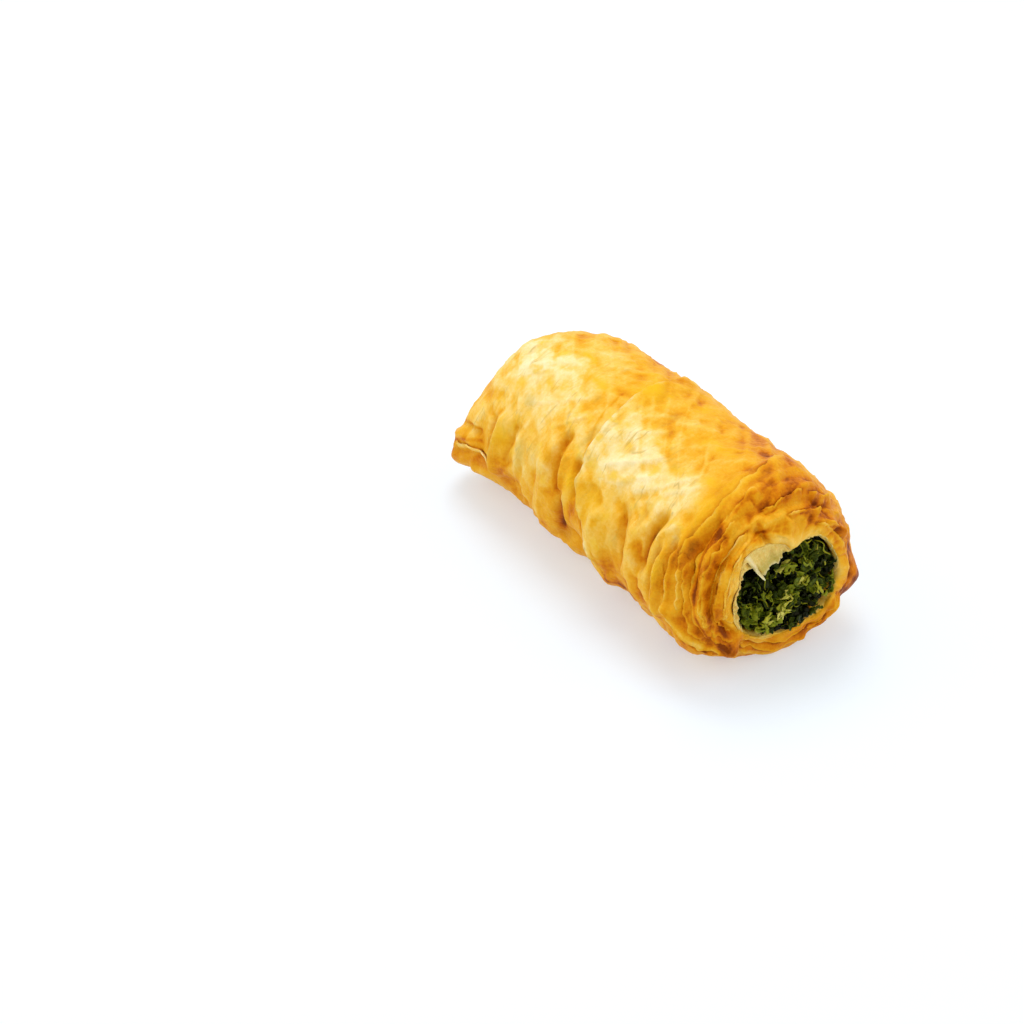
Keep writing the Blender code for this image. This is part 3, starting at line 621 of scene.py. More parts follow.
def sphere_mesh(name, around, rings):
    """A sphere's mesh, with the ring number and the share of a turn of each of its vertices."""
    mesh = bmesh.new()
    bmesh.ops.create_uvsphere(mesh, u_segments=around, v_segments=rings - 1, radius=1.0)
    data = mesh_data(name, mesh)
    unit = corners_of(data)
    ring = np.rint(np.arccos(np.clip(unit[:, 2], -1.0, 1.0)) / math.pi * (rings - 1)).astype(int)
    part = np.rint(np.arctan2(unit[:, 1], unit[:, 0]) / math.tau * around) % around / around
    return data, ring, part


def grid_mesh(name, across, along):
    """A flat grid's mesh, with each vertex's shares of its two sides."""
    mesh = bmesh.new()
    bmesh.ops.create_grid(mesh, x_segments=across, y_segments=along, size=0.5)
    data = mesh_data(name, mesh)
    unit = corners_of(data)
    return data, unit[:, 0] + 0.5, unit[:, 1] + 0.5


def outwards(data):
    """Turns a closed mesh's faces so that they look outwards."""
    mesh = bmesh.new()
    mesh.from_mesh(data)
    bmesh.ops.recalc_face_normals(mesh, faces=mesh.faces)
    mesh.to_mesh(data)
    mesh.free()


def outwards_from_axis(data):
    """Turns a strip's faces so that they look away from the roll's axis."""
    mesh = bmesh.new()
    mesh.from_mesh(data)
    mesh.normal_update()
    axis = Vector((0.0, SHIFT[1] * MM, MOUTH_HEIGHT * MM))
    sight = sum(face.normal.dot(face.calc_center_median() - axis) * face.calc_area() for face in mesh.faces)
    if sight < 0.0:
        bmesh.ops.reverse_faces(mesh, faces=mesh.faces)
    mesh.to_mesh(data)
    mesh.free()


def merged(name, pieces):
    """One mesh from many small ones, with the tones of their vertices. The small ones are removed."""
    joined = bmesh.new()
    tones = []
    for data, tone in pieces:
        joined.from_mesh(data)
        tones.append(tone)
        bpy.data.meshes.remove(data)
    data = mesh_data(name, joined)
    give_attributes(data, tone=np.clip(np.concatenate(tones), 0.0, 1.0))
    return data


# Materials

def linear(code):
    """The linear colour of a hexadecimal screen colour."""
    parts = [int(code[start:start + 2], 16) / 255.0 for start in (0, 2, 4)]
    return [part / 12.92 if part <= 0.04045 else ((part + 0.055) / 1.055) ** 2.4 for part in parts] + [1.0]


class Signal:
    """A node's output. Reckoning with it adds math nodes to its tree."""

    def __init__(self, wiring, socket):
        self.wiring = wiring
        self.socket = socket

    def __add__(self, other):
        return self.wiring.math("ADD", self, other)

    def __sub__(self, other):
        return self.wiring.math("SUBTRACT", self, other)

    def __rsub__(self, other):
        return self.wiring.math("SUBTRACT", other, self)

    def __mul__(self, other):
        return self.wiring.math("MULTIPLY", self, other)

    def __abs__(self):
        return self.wiring.math("ABSOLUTE", self, 0.0)

    def clamped(self):
        """Keeps the last step's result between 0 and 1."""
        self.socket.node.use_clamp = True
        return self


class Wiring:
    """Adds nodes to a tree and links them."""

    def __init__(self, tree):
        self.tree = tree

    def node(self, kind, settings=None, output=0, **inputs):
        """Adds a node. Inputs are given by name, or by number as i0, i1 and so on."""
        made = self.tree.nodes.new(kind)
        for key, value in (settings or {}).items():
            setattr(made, key, value)
        for key, value in inputs.items():
            self.feed(made, int(key[1:]) if key[1:].isdigit() else key, value)
        return Signal(self, made.outputs[output]) if made.outputs else made

    def feed(self, node, key, value):
        if isinstance(value, Signal):
            self.tree.links.new(value.socket, node.inputs[key])
        else:
            node.inputs[key].default_value = value

    def math(self, operation, first, second):
        return self.node("ShaderNodeMath", {"operation": operation}, i0=first, i1=second)

    def mix(self, share, colour, code, blend="MIX"):
        """Mixes a share of a screen colour into a colour."""
        settings = {"data_type": "RGBA", "blend_type": blend, "clamp_factor": True}
        return self.node("ShaderNodeMix", settings, 2, i0=share, i6=colour, i7=linear(code))

    def place(self):
        return self.node("ShaderNodeTexCoord", output="Object")

    def attribute(self, name, output="Fac"):
        return self.node("ShaderNodeAttribute", {"attribute_name": name}, output)

    def spots(self, place, scale, detail, roughness=0.5, warp=0.0):
        return self.node("ShaderNodeTexNoise", output="Fac", Vector=place, Scale=scale, Detail=detail,
                         Roughness=roughness, Distortion=warp)

    def ramp(self, share, stops):
        """The colour at a value, between stops of a position and a screen colour each."""
        ramped = self.node("ShaderNodeValToRGB", output="Color", Fac=share)
        elements = ramped.socket.node.color_ramp.elements
        while len(elements) < len(stops):
            elements.new(0.5)
        for element, (position, code) in zip(elements, stops):
            element.position = position
            element.color = linear(code)
        return ramped

    def crinkle(self, scale):
        """The height and the mottling of fine crinkles."""
        height = self.node("ShaderNodeGroup", {"node_tree": crinkle_group()}, "Height", Scale=scale)
        return height, Signal(self, height.socket.node.outputs["Mottle"])

    def finish(self, colour, roughness, height, strength, distance):
        """Feeds the Principled shader its colour, its roughness and small bumps."""
        shader = self.tree.nodes["Principled BSDF"]
        bump = self.node("ShaderNodeBump", output="Normal", Strength=strength, Distance=distance,
                         Height=height)
        self.feed(shader, "Base Color", colour)
        self.feed(shader, "Roughness", roughness)
        self.feed(shader, "Normal", bump)


def new_material(name, constants):
    """A material with constants on its Principled shader's own sockets."""
    material = bpy.data.materials.new(name)
    material.use_nodes = True
    shader = material.node_tree.nodes["Principled BSDF"]
    for socket, value in constants.items():
        shader.inputs[socket].default_value = value
    return material


def crinkle_group():
    """Shared by the crust, the film and the leaves: fine crinkles as a height, and soft mottling."""
    if "Crinkle" in bpy.data.node_groups:
        return bpy.data.node_groups["Crinkle"]
    group = bpy.data.node_groups.new("Crinkle", "ShaderNodeTree")
    for name, in_out in (("Scale", "INPUT"), ("Height", "OUTPUT"), ("Mottle", "OUTPUT")):
        group.interface.new_socket(name, in_out=in_out, socket_type="NodeSocketFloat")
    wiring = Wiring(group)
    scale = wiring.node("NodeGroupInput", output="Scale")
    place = wiring.place()
    fine = wiring.spots(place, scale * 2.6, 4.0, 0.6, 0.6)
    coarse = wiring.spots(place, scale, 3.0, 0.55, 0.4)
    ridge = 1.0 - (abs(coarse - 0.5) * 6.0).clamped()
    wiring.node("NodeGroupOutput", Height=ridge * 0.5 + fine * 0.6, Mottle=fine)
    return group


def crust_material():
    """Browned dough. How brown, yellow and green it is, and where shade and highlight are painted on it,
    comes from the mesh, its specks from noise.
    """
    material = new_material("crust", {
        "Specular IOR Level": 0.1,
        "Specular Tint": (1.0, 0.82, 0.5, 1.0),
        "Subsurface Weight": 0.1,
        "Subsurface Radius": (1.0, 0.6, 0.25),
        "Subsurface Scale": 1.6 * MM,
    })
    wiring = Wiring(material.node_tree)
    place = wiring.place()
    crinkle, mottle = wiring.crinkle(420.0)
    streaky = wiring.attribute("streaky")
    chart = wiring.attribute("chart", "Vector")
    along_fold = wiring.node("ShaderNodeMapping", Vector=chart, Scale=(1.0, 0.16, 1.0))
    streak = wiring.spots(along_fold, 360.0, 3.0, 0.6, 0.3)
    cloud = wiring.spots(place, 130.0, 2.0, 0.5, 0.5)
    patch = wiring.math("MINIMUM", wiring.math("MAXIMUM", (cloud - 0.5) * 3.0, -0.5), 0.5)
    toast = wiring.attribute("toast") + patch * 0.08 + (streak - 0.5) * (streaky * 0.3)
    # painted shade in the fine wrinkles' valleys and painted highlight on their ridges, read from the
    # wrinkles' height
    toast = toast + (mottle - 0.5) * 0.30 - wiring.attribute("fold") * 0.32
    colour = wiring.ramp(toast, CRUST_COLOURS)
    pale = ((0.62 - toast).clamped() * 2.2).clamped()
    speck = ((wiring.spots(place, 260.0, 3.0) - 0.55) * 7.0).clamped()
    colour = wiring.mix(speck * (pale * 0.8), colour, SPECK_COLOUR)
    thread = 1.0 - abs(wiring.spots(along_fold, 230.0, 2.0, 0.5, 0.8) - 0.5) * 32.0
    broken = ((wiring.spots(place, 190.0, 2.0) - 0.47) * 8.0).clamped()
    colour = wiring.mix(thread.clamped() * broken * (pale * 0.6) * streaky, colour, STREAK_COLOUR)
    egg = (wiring.attribute("egg") * (cloud * 2.0 + 0.1)).clamped()
    colour = wiring.mix(egg, colour, EGG_COLOUR)
    olive = (wiring.attribute("olive") * ((streak - 0.38) * 4.0).clamped()).clamped()
    colour = wiring.mix(olive * 0.6, colour, OLIVE_COLOUR)
    # painted shade, multiplied in, in the creases, below the sheet ends and inside the mouth
    colour = wiring.mix(wiring.attribute("pit"), colour, PIT_COLOUR, "MULTIPLY")
    wiring.finish(colour, mottle * 0.26 + 0.36, crinkle, 0.8, 0.24 * MM)
    return material


# The crust and the free ends of its sheets

def dress(data, way, angle, pit, fold, extra_toast):
    """Gives a pastry mesh what its material reads: how brown, yellow or green it is, its painted shade and
    painted highlight, and its chart.
    """
    toast = TOAST_PLAIN + patches(TOAST, way, angle) + lines(LINES, way, angle) + extra_toast
    give_attributes(
        data,
        toast=np.clip(toast, 0.02, 0.93),
        egg=np.clip(patches(EGG, way, angle), 0.0, 1.0),
        olive=np.clip(patches(OLIVE, way, angle), 0.0, 1.0),
        pit=np.clip(pit, 0.0, 1.0),
        fold=np.clip(np.where(fold < 0.0, 1.7, 0.6) * fold, -1.0, 1.0),
        streaky=off_the_tip(way),
    )
    layer = data.attributes.new("chart", "FLOAT_VECTOR", "POINT")
    layer.data.foreach_set("vector", np.ascontiguousarray(chart_of(way, angle) * MM, np.float32).ravel())


def crust_ways(count):
    """Ways of the crust's rings from the closed tip to the tube's end."""
    tip = TIP_X - TIP_WAY * float(body_section(np.array(-ROLL_LENGTH / 2))[0])
    tube_way = MOUTH_X + MOUTH_WAY - TUBE_END
    inner = [MOUTH_WAY + 7.0, MOUTH_WAY + 14.0, MOUTH_WAY + 30.0, MOUTH_WAY + 60.0, tube_way, tube_way]
    return np.concatenate([np.linspace(tip, MOUTH_WAY + 4.0, count - len(inner)), inner])


def make_crust(settings, material):
    around, rings = settings.crust_around, settings.crust_rings
    data, ring, part = sphere_mesh("crust", around, rings)
    way = crust_ways(rings)[ring]
    angle = part * 360.0 - 90.0  # the seam of the angles is underneath
    height = relief(way, angle)
    points = pastry_place(way, angle, height)
    points[ring == rings - 1] = (TUBE_END, 0.0, MOUTH_HEIGHT)
    put_corners(data, points + SHIFT)
    outwards(data)
    # painted shade on the crust beside each sheet end's raised edge, deeper the higher the edge stands
    edges = [(EDGE_SHADE * lift, 0.5, *edge) for _, _, lift, *edge in SHEET_ENDS.values()]
    under_edges = np.minimum(lines(edges, way, angle), DEEPEST_SHADE)
    # painted shade inside the mouth, in the creases' valleys and below the sheet ends; inside the mouth and
    # below the sheet ends it also browns the crust further
    inside = ease((way - MOUTH_WAY - 2.0) / 2.5)
    pit = 0.22 * ease(-crease_height(CREASES, way, angle) / 1.6) + under_edges + inside
    dress(data, way, angle, pit, height - relief(way, angle, fine=False), under_edges + 0.6 * inside)
    crust = new_piece("crust", data, material)
    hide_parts("pastry")


def edge_path(points, share):
    """Way and angle at shares of a smooth line through points, and the line's length."""
    points = np.array(points, float)
    steps = np.hypot(np.diff(points[:, 0]), np.diff(points[:, 1]) * MM_PER_DEGREE)
    knots = np.concatenate([[0.0], np.cumsum(steps)])
    knots /= knots[-1]
    slopes = np.gradient(points, knots, axis=0)
    index = np.clip(np.searchsorted(knots, share) - 1, 0, len(knots) - 2)
    width = (knots[index + 1] - knots[index])[:, None]
    t = (share - knots[index])[:, None] / width
    first = (2 * t ** 3 - 3 * t ** 2 + 1) * points[index]
    first += (t ** 3 - 2 * t ** 2 + t) * width * slopes[index]
    second = (3 * t ** 2 - 2 * t ** 3) * points[index + 1]
    second += (t ** 3 - t ** 2) * width * slopes[index + 1]
    return first + second, float(steps.sum())


def make_sheet_end(name, end, seed, thickness, material):
    """A strip of thin sheet. Its free edge stands up a little and its other side sinks into the crust."""
    width, side, lift, *points = end
    _, length = edge_path(points, np.array([0.0]))
    data, along, across = grid_mesh(name, max(12, int(length / STRIP_STEP)), STRIP_ROWS)
    line, _ = edge_path(points, along)
    ahead, _ = edge_path(points, np.minimum(along + 0.01, 1.0))
    behind, _ = edge_path(points, np.maximum(along - 0.01, 0.0))
    heading = (ahead - behind) * np.array([1.0, MM_PER_DEGREE])
    heading /= np.linalg.norm(heading, axis=1)[:, None] + 1e-9
    flat = points_of(along * length, 0.0, seed * 7.0)
    ends = ease(along / 0.12) * ease((1.0 - along) / 0.12)
    torn = (0.32 * ripples(flat, 5.0, 9, seed) + 0.16 * ripples(flat, 1.6, 9, seed + 50)) * (1.0 - across)
    inwards = side * (across * width * (0.35 + 0.65 * ends) + torn)
    way = line[:, 0] + heading[:, 1] * inwards
    angle = line[:, 1] - heading[:, 0] * inwards / MM_PER_DEGREE
    flutter = 1.0 + 0.5 * ripples(flat, 7.0, 8, seed + 90)
    raised = lift * flutter * (1.0 - across) ** 1.6 * ends
    sunk = 0.45 * ease((across - 0.55) / 0.45) + 0.45 * (1.0 - ends)
    under = relief(way, angle)
    put_corners(data, pastry_place(way, angle, under + STRIP_LIFT + raised - sunk) + SHIFT)
    outwards_from_axis(data)
    # painted highlight: the strip's free edge is painted paler
    edge = hump(across, 0.12) * ends
    dress(data, way, angle, 0.0 * way, under - relief(way, angle, fine=False), -0.2 * edge)
    thicken(new_piece(name, data, material), "sheet", thickness)


# Filling

def free_share(x, angle):
    """Share of the tube's half sizes that is free at x, where the mouth narrows it."""
    return 1.0 + 1.1 * np.minimum(0.0, mouth_outline(angle)) * hump(MOUTH_X - x, LIP_DEPTH)


def face_depth(out, angle):
    """x of the filling's face at a share of the way out and an angle."""
    sunk = bulge(angle, HOLLOW_ANGLE, 38.0)
    full = 3.0 * out ** 2 * bulge(angle, FULL_ANGLE, 60.0)
    return FILLING_FACE + full - 0.5 * out ** 6 - HOLLOW_DEPTH * out * sunk


def filling_place(out, angle, x):
    """Points of the filling at shares of the way out from the tube's middle."""
    share = out * free_share(x, angle)
    turn = np.radians(angle)
    y = (TUBE_HALF_WIDTH - GAP) * share * np.cos(turn)
    z = MOUTH_HEIGHT + (TUBE_HALF_HEIGHT - GAP) * share * np.sin(turn)
    return points_of(x, y, z)


def hills(y, z):
    """Hills and holes of the filling's face, from about -1 to 1."""
    flat = points_of(0.0, y, z)
    return np.clip(ripples(flat, 5.6, 10, 71) + 0.6 * ripples(flat, 2.8, 10, 72), -1.2, 1.2)


def make_spinach_bed(material):
    """The core of the filling, which runs through the roll and ends in a lumpy face."""
    data, ring, part = sphere_mesh("spinach_bed", BED_AROUND, BED_RINGS)
    angle = part * 360.0
    last = BED_RINGS - 1
    out = np.sin(0.5 * math.pi * np.clip(ring / BED_FACE_RINGS, 0.0, 1.0))
    out = np.where(ring == last, 0.0, out)
    behind = ring > BED_FACE_RINGS
    back = np.interp(ring, (BED_FACE_RINGS, last), (FILLING_FACE - 7.0, FILLING_BACK))
    x = np.where(behind, back, face_depth(out, angle))
    flat = filling_place(out, angle, x) * np.array([0.0, 1.0, 1.0])
    lumps = 1.9 * hills(flat[:, 1], flat[:, 2])
    lumps += 0.6 * ripples(flat, 2.2, 14, 32) + 0.3 * ripples(flat, 0.9, 14, 33)
    x = np.where(behind, x, x + lumps * (1.0 - out ** 8) - 2.8)
    put_corners(data, filling_place(out, angle, x) + SHIFT)
    outwards(data)
    # painted shade in the face's hollows and painted highlight on its lumps
    give_attributes(data, tone=np.clip(0.04 + 0.10 * lumps, 0.0, 1.0))
    bed = new_piece("spinach_bed", data, material)
    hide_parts("filling")


def leaf_frame(draw, index, count):
    """Where a scrap lies in the face, a turn for it, and how high up the hills it is."""
    out = 0.98 * math.sqrt((index + 0.5) / count)
    angle = (index * GOLDEN_ANGLE) % 360.0
    x = float(face_depth(np.array(out), np.array(angle)))
    place = filling_place(np.array([out]), np.array([angle]), np.array([x]))[0]
    hill = float(hills(place[1:2], place[2:3])[0])
    # hill also gives the scrap its tone: painted shade in the cavity under the film and in the holes,
    # painted highlight on the hill tops, darker round 40 degrees and lighter round 240 degrees
    cavity = bulge(angle, CAVITY_ANGLE, 17.0) * float(ease((out - 0.45) / 0.15))
    hill -= 1.2 * cavity + 0.3 * bulge(angle, 40.0, 50.0) - 0.15 * bulge(angle, 240.0, 50.0)
    place[0] -= 3.0 * cavity
    place[0] += 1.9 * hill * (1.0 - 0.6 * out ** 3) - 0.4 + draw.uniform(-1.0, 0.9)
    spin = Matrix.Rotation(draw.uniform(0.0, math.tau), 3, "X")
    lean = Matrix.Rotation(draw.normal() * 0.6, 3, "Y") @ Matrix.Rotation(draw.normal() * 0.6, 3, "Z")
    return place, np.array(lean @ spin), hill


def kept_in_mouth(points):
    """Points of the filling, drawn in where they would reach the pastry or stand out of the mouth."""
    y, z = points[:, 1], points[:, 2] - MOUTH_HEIGHT
    wide, high = TUBE_HALF_WIDTH - 0.6 * GAP, TUBE_HALF_HEIGHT - 0.6 * GAP
    angle = np.degrees(np.arctan2(z / high, y / wide))
    out = np.hypot(y / wide, z / high) / free_share(points[:, 0], angle)
    squeeze = np.where(out > 0.9, (0.9 + 0.1 * np.tanh((out - 0.9) / 0.1)) / np.maximum(out, 1e-6), 1.0)
    most = FILLING_FRONT - 3.0 * bulge(angle, 122.0, 24.0) * ease((out - 0.42) / 0.2)
    most += 1.3 * bulge(angle, FULL_ANGLE, 60.0)
    x = np.where(points[:, 0] > most, most + 0.8 * np.tanh((points[:, 0] - most) / 0.8), points[:, 0])
    return points_of(x, y * squeeze, MOUTH_HEIGHT + z * squeeze)


def leaf_scrap(draw, index, count):
    """One crumpled scrap of leaf, and the tones of its vertices, with painted shade in the holes and
    painted highlight on the hill tops.
    """
    data, u, v = grid_mesh("scrap", SCRAP_COLUMNS, SCRAP_ROWS)
    length, width = draw.uniform(1.6, 4.4), draw.uniform(0.8, 2.2)
    bend, curl = draw.uniform(-1.0, 1.0) / 3.0, draw.uniform(0.5, 1.5) * draw.choice([-1, 1])
    p, q = (u - 0.5) * length, (v - 0.5) * width * np.sqrt(np.clip(1.0 - (2 * u - 1) ** 4, 0.12, 1.0))
    local = points_of(curl * q ** 2 / width + bend * p ** 2 / 2.0, p, q)
    spot = local + index * 9.7
    for axis in range(3):
        local[:, axis] += 0.6 * ripples(spot, 2.4, 8, 200 + axis) + 0.3 * ripples(spot, 1.1, 8, 300 + axis)
    place, turn, hill = leaf_frame(draw, index, count)
    put_corners(data, kept_in_mouth(local @ turn.T + place) + SHIFT)
    # painted shade and painted highlight from how high up the hills the scrap lies
    tone = 0.17 + 0.46 * hill + draw.uniform(-0.20, 0.26)
    rim, vein = np.abs(2 * v - 1) ** 3, hump(v - 0.5, 0.10)
    return data, tone + 0.22 * rim * draw.uniform(0.0, 1.0) + 0.18 * vein


def strand(draw, index, count):
    """One soft bright strand of stalk, and the tones of its vertices."""
    data, ring, part = sphere_mesh("strand", STRAND_AROUND, STRAND_RINGS)
    t = ring / (STRAND_RINGS - 1)
    length, radius = draw.uniform(2.5, 6.0), draw.uniform(0.16, 0.36)
    p = (t - 0.5) * length
    way = points_of(p, 0.0, index * 5)
    sway = points_of(*(0.5 * ripples(way, 4.0, 6, 400 + axis) for axis in range(3)))
    girth = radius * np.sqrt(np.clip(np.sin(math.pi * t), 0.0, 1.0))
    turned = part * math.tau
    tube = points_of(girth * 0.7 * np.cos(turned), p, girth * 1.3 * np.sin(turned))
    place, turn, _ = leaf_frame(draw, (index * 7) % count, count)
    place[0] += 0.5
    put_corners(data, kept_in_mouth((tube + sway * 1.6) @ turn.T + place) + SHIFT)
    outwards(data)
    return data, np.full(len(t), draw.uniform(0.4, 0.8))


def make_leaves(settings, material):
    """Crumpled scraps of leaf, as one piece."""
    draw, count = np.random.default_rng(settings.seed), settings.leaf_count
    data = merged("spinach_leaves", (leaf_scrap(draw, index, count) for index in range(count)))
    thicken(new_piece("spinach_leaves", data, material), "leaf", SCRAP_THICKNESS)


def make_stalks(settings, material):
    """Soft bright strands among the leaves, as one piece."""
    draw, count = np.random.default_rng(settings.seed + 1), settings.stalk_count
    data = merged("spinach_stalks", (strand(draw, index, count) for index in range(count)))
    new_piece("spinach_stalks", data, material)


def spinach_material():
    """Moist leaf, from near black to yellow green on the rims, with painted shade in the holes and painted
    highlight on the hill tops.
    """
    material = new_material("spinach", {
        "Specular IOR Level": 0.12,
        "Specular Tint": (1.0, 0.95, 0.6, 1.0),
        "Subsurface Weight": 0.06,
        "Subsurface Scale": 0.8 * MM,
    })
    wiring = Wiring(material.node_tree)
    crinkle, mottle = wiring.crinkle(700.0)
    tone = wiring.attribute("tone") + (mottle - 0.5) * 0.35
    colour = wiring.ramp(tone, SPINACH_COLOURS)
    wiring.finish(colour, mottle * 0.24 + 0.26, crinkle, 0.6, 0.14 * MM)
    return material


# The film

def make_film(material):
    """The pale sheet that lines the mouth, from the lip inwards, with the part that hangs down."""
    data, along, across = grid_mesh("film", FILM_COLUMNS, FILM_ROWS)
    first, last = FILM_REACH[0][0], FILM_REACH[-1][0]
    angle = first + along * (last - first)
    flat = points_of(angle * FILM_MM_PER_DEGREE, 0.0, 0.0)
    reach, skew = (np.interp(angle, *zip(*rows)) for rows in (FILM_REACH, FILM_SKEW))
    ends = ease((angle - first) / 14.0) * ease((last - angle) / 14.0)
    hang = bulge(angle, FILM_HANG_ANGLE, 28.0)
    ridge = bulge(angle, FILM_FOLD_ANGLE, 1.8)
    ragged = 0.035 * ripples(flat, 2.6, 10, 61) + 0.01 * ripples(flat, 1.0, 10, 62)
    reach = reach + (0.3 + 0.7 * hang) * ragged
    lip_way = np.full_like(angle, MOUTH_WAY + 0.3)
    lip = pastry_place(lip_way, angle, relief(lip_way, angle))
    turn = np.radians(angle + skew)
    wrinkle = points_of(angle * FILM_MM_PER_DEGREE, across * 3.0, 0.0)
    fall = (1.9 - 1.3 * hang) * across ** 0.8 - 0.9 * ridge * ease(across / 0.4)
    fall -= 0.6 * ripples(wrinkle, 2.6, 10, 63) * ease(across / 0.3)
    inner_y = MOUTH_HALF_WIDTH * reach * np.cos(turn)
    inner_z = MOUTH_HEIGHT + MOUTH_HALF_HEIGHT * reach * np.sin(turn)
    x = lip[:, 0] + (0.15 + 0.6 * bulge(angle, 178.0, 40.0)) * ends - fall - 1.2 * (1.0 - ends)
    y = lip[:, 1] + (inner_y - lip[:, 1]) * across * ends
    z = lip[:, 2] + (inner_z - lip[:, 2]) * across * ends
    put_corners(data, points_of(x, y, z) + SHIFT)
    # painted highlight along the film's free edge and its fold ridge
    edge = np.clip(0.5 * hump(1.0 - across, 0.07) + 0.55 * ridge, 0.0, 1.0)
    give_attributes(data, edge=edge, thin=hang * ease((across - 0.3) / 0.5))
    thicken(new_piece("film", data, material), "film", FILM_THICKNESS)


def film_material():
    """Thin pale dough, greener where the spinach shows through it, with a painted highlight in cream along
    its free edge and its fold ridge.
    """
    material = new_material("film", {
        "Specular IOR Level": 0.15,
        "Specular Tint": (1.0, 0.9, 0.6, 1.0),
        "Subsurface Weight": 0.1,
        "Subsurface Scale": 1.0 * MM,
    })
    wiring = Wiring(material.node_tree)
    crinkle, mottle = wiring.crinkle(520.0)
    colour = wiring.ramp(mottle, FILM_COLOURS)
    colour = wiring.mix(wiring.attribute("thin") * 0.6, colour, FILM_THIN_COLOUR)
    colour = wiring.mix(wiring.attribute("edge"), colour, FILM_EDGE_COLOUR)
    wiring.finish(colour, mottle * 0.2 + 0.3, crinkle, 0.3, 0.1 * MM)
    return material


# Stage

def area_light(name, place, size, power, colour):
    """A square lamp that faces the roll."""
    lamp = bpy.data.lights.new(name, "AREA")
    lamp.size = size
    lamp.energy = power
    lamp.color = colour
    light = bpy.data.objects.new(name, lamp)
    light.location = place
    light.rotation_euler = (VIEW_TARGET - Vector(place)).to_track_quat("-Z", "Y").to_euler()
    bpy.context.scene.collection.objects.link(light)


def place_camera():
    """The camera, turned so that the roll's middle falls on its pixel."""
    azimuth, elevation = math.radians(VIEW_AZIMUTH), math.radians(VIEW_ELEVATION)
    back = Vector((
        math.sin(azimuth) * math.cos(elevation),
        -math.cos(azimuth) * math.cos(elevation),
        math.sin(elevation),
    ))
    right = Vector((math.cos(azimuth), math.sin(azimuth), 0.0))
    up = back.cross(right)
    middle = IMAGE_SIDE / 2
    aim_right, aim_down = (middle - AIM_PIXEL[0]) / FOCAL_PIXELS, (middle - AIM_PIXEL[1]) / FOCAL_PIXELS
    look = -back + right * aim_right - up * aim_down
    camera = bpy.data.objects.new("camera", bpy.data.cameras.new("camera"))
    camera.data.sensor_width = SENSOR
    camera.data.lens = FOCAL_PIXELS / IMAGE_SIDE * SENSOR
    camera.data.clip_start = 0.01
    camera.location = VIEW_TARGET + back * VIEW_DISTANCE
    camera.rotation_euler = look.to_track_quat("-Z", "Y").to_euler()
    bpy.context.scene.collection.objects.link(camera)
    bpy.context.scene.camera = camera


def make_stage(settings):
    """The floor, the light from all round, three lamps and the camera."""
    mesh = bmesh.new()
    bmesh.ops.create_grid(mesh, x_segments=1, y_segments=1, size=FLOOR_HALF)
    bmesh.ops.translate(mesh, verts=mesh.verts, vec=(0.0, 0.0, -FLOOR_DROP))
    floor = bpy.data.objects.new("floor", mesh_data("floor", mesh))
    bpy.context.scene.collection.objects.link(floor)
    floor.data.materials.append(new_material("floor", {
        "Base Color": (*settings.floor_colour, 1.0),
        "Roughness": 0.7,
        "Emission Color": (0.9, 0.95, 1.0, 1.0),
        "Emission Strength": settings.floor_glow,
    }))
    world = bpy.data.worlds.new("studio")
    world.use_nodes = True
    sky = world.node_tree.nodes["Background"]
    sky.inputs["Color"].default_value = (*WHITE, 1.0)
    sky.inputs["Strength"].default_value = settings.sky_strength
    bpy.context.scene.world = world
    area_light("key", KEY_PLACE, KEY_SIZE, settings.key_power, WHITE)
    area_light("fill", FILL_PLACE, FILL_SIZE, settings.fill_power, WHITE)
    area_light("rim", RIM_PLACE, FILL_SIZE, settings.fill_power, WARM)
    bpy.context.scene.view_settings.view_transform = "Standard"
    place_camera()


# Settings, operators and panel

class BorekSettings(bpy.types.PropertyGroup):
    sheet_thickness: bpy.props.FloatProperty(
        name="Sheet thickness", description="Thickness of one sheet of pastry",
        default=0.4 * MM, min=0.1 * MM, max=1.0 * MM, unit="LENGTH", precision=5)
    crust_around: bpy.props.IntProperty(
        name="Crust divisions round", description="Vertices in each ring of the crust", default=320, min=40)
    crust_rings: bpy.props.IntProperty(
        name="Crust rings", description="Rings of vertices from the closed tip to the tube's end",
        default=300, min=40)
    leaf_count: bpy.props.IntProperty(
        name="Leaf scraps", description="Scraps of spinach leaf in the filling's face", default=440, min=1)
    stalk_count: bpy.props.IntProperty(
        name="Strands", description="Bright strands of stalk among the leaves", default=60, min=1)
    seed: bpy.props.IntProperty(name="Seed", description="Where the leaves fall", default=5)
    floor_colour: bpy.props.FloatVectorProperty(
        name="Floor", description="Colour of the floor", subtype="COLOR",
        default=(0.5, 0.55, 0.6), min=0.0, max=1.0)
    floor_glow: bpy.props.FloatProperty(
        name="Floor glow", description="Light that comes up through the floor", default=0.42, min=0.0)
    sky_strength: bpy.props.FloatProperty(
        name="Sky", description="Light from all round", default=0.78, min=0.0)
    key_power: bpy.props.FloatProperty(
        name="Key light", description="Power of the large lamp behind the roll",
        default=2.4, min=0.0, unit="POWER")
    fill_power: bpy.props.FloatProperty(
        name="Fill lights", description="Power of the lamps at both sides",
        default=1.4, min=0.0, unit="POWER")


class BOREK_OT_crust(bpy.types.Operator):
    """Bakes the crust: the outer sheets with their pleats, wrinkles and browning"""
    bl_idname = "borek.crust"
    bl_label = "Bake the crust"

    def execute(self, context):
        settings = context.scene.borek
        make_crust(settings, crust_material())
        return {"FINISHED"}


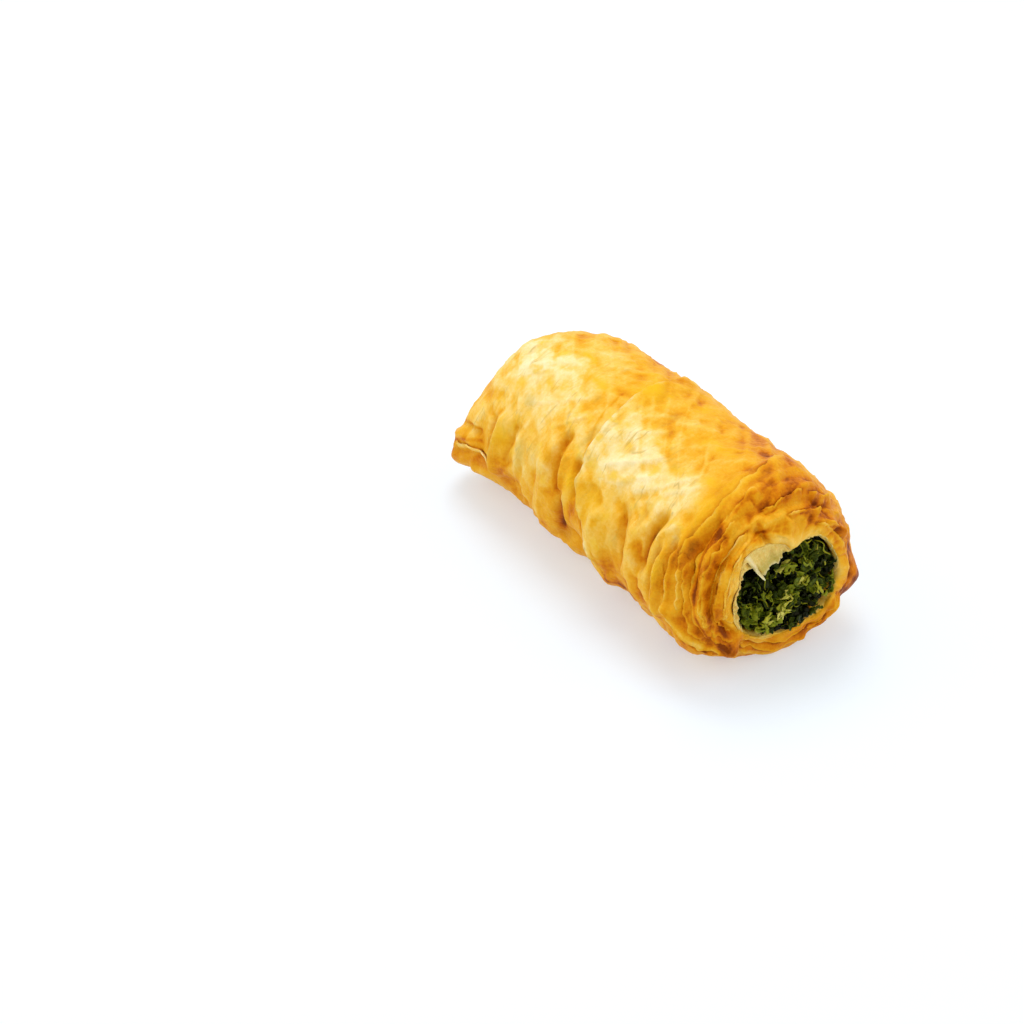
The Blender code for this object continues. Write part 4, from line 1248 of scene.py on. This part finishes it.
class BOREK_OT_sheet_ends(bpy.types.Operator):
    """Lays the thin free ends of the sheets over the crust"""
    bl_idname = "borek.sheet_ends"
    bl_label = "Lay the sheet ends"

    def execute(self, context):
        thickness = context.scene.borek.sheet_thickness
        material = bpy.data.materials["crust"]
        for seed, (name, end) in enumerate(SHEET_ENDS.items()):
            make_sheet_end(name, end, seed, thickness, material)
        return {"FINISHED"}


class BOREK_OT_spinach(bpy.types.Operator):
    """Packs the mouth with chopped spinach"""
    bl_idname = "borek.spinach"
    bl_label = "Pack the spinach"

    def execute(self, context):
        settings = context.scene.borek
        material = spinach_material()
        make_spinach_bed(material)
        make_leaves(settings, material)
        make_stalks(settings, material)
        return {"FINISHED"}


class BOREK_OT_film(bpy.types.Operator):
    """Lines the mouth with the pale innermost sheet"""
    bl_idname = "borek.film"
    bl_label = "Line the mouth"

    def execute(self, context):
        make_film(film_material())
        return {"FINISHED"}


class BOREK_OT_stage(bpy.types.Operator):
    """Sets the floor, the studio light and the camera"""
    bl_idname = "borek.stage"
    bl_label = "Set the stage"

    def execute(self, context):
        make_stage(context.scene.borek)
        return {"FINISHED"}


OPERATORS = (BOREK_OT_crust, BOREK_OT_sheet_ends, BOREK_OT_spinach, BOREK_OT_film, BOREK_OT_stage)


class BOREK_PT_panel(bpy.types.Panel):
    """Lists the steps that dress the roll"""
    bl_idname = "BOREK_PT_panel"
    bl_label = "Borek"
    bl_space_type = "VIEW_3D"
    bl_region_type = "UI"
    bl_category = "Borek"

    def draw(self, context):
        for operator in OPERATORS:
            self.layout.operator(operator.bl_idname)
        for name in BorekSettings.__annotations__:
            self.layout.prop(context.scene.borek, name)


def register():
    for kind in (BorekSettings, *OPERATORS, BOREK_PT_panel):
        bpy.utils.register_class(kind)
    bpy.types.Scene.borek = bpy.props.PointerProperty(type=BorekSettings)


def unregister():
    del bpy.types.Scene.borek
    for kind in (BOREK_PT_panel, *reversed(OPERATORS), BorekSettings):
        bpy.utils.unregister_class(kind)


def main():
    register()
    bpy.ops.borek.crust()
    bpy.ops.borek.sheet_ends()
    bpy.ops.borek.spinach()
    bpy.ops.borek.film()
    bpy.ops.borek.stage()


if __name__ == "__main__":
    main()
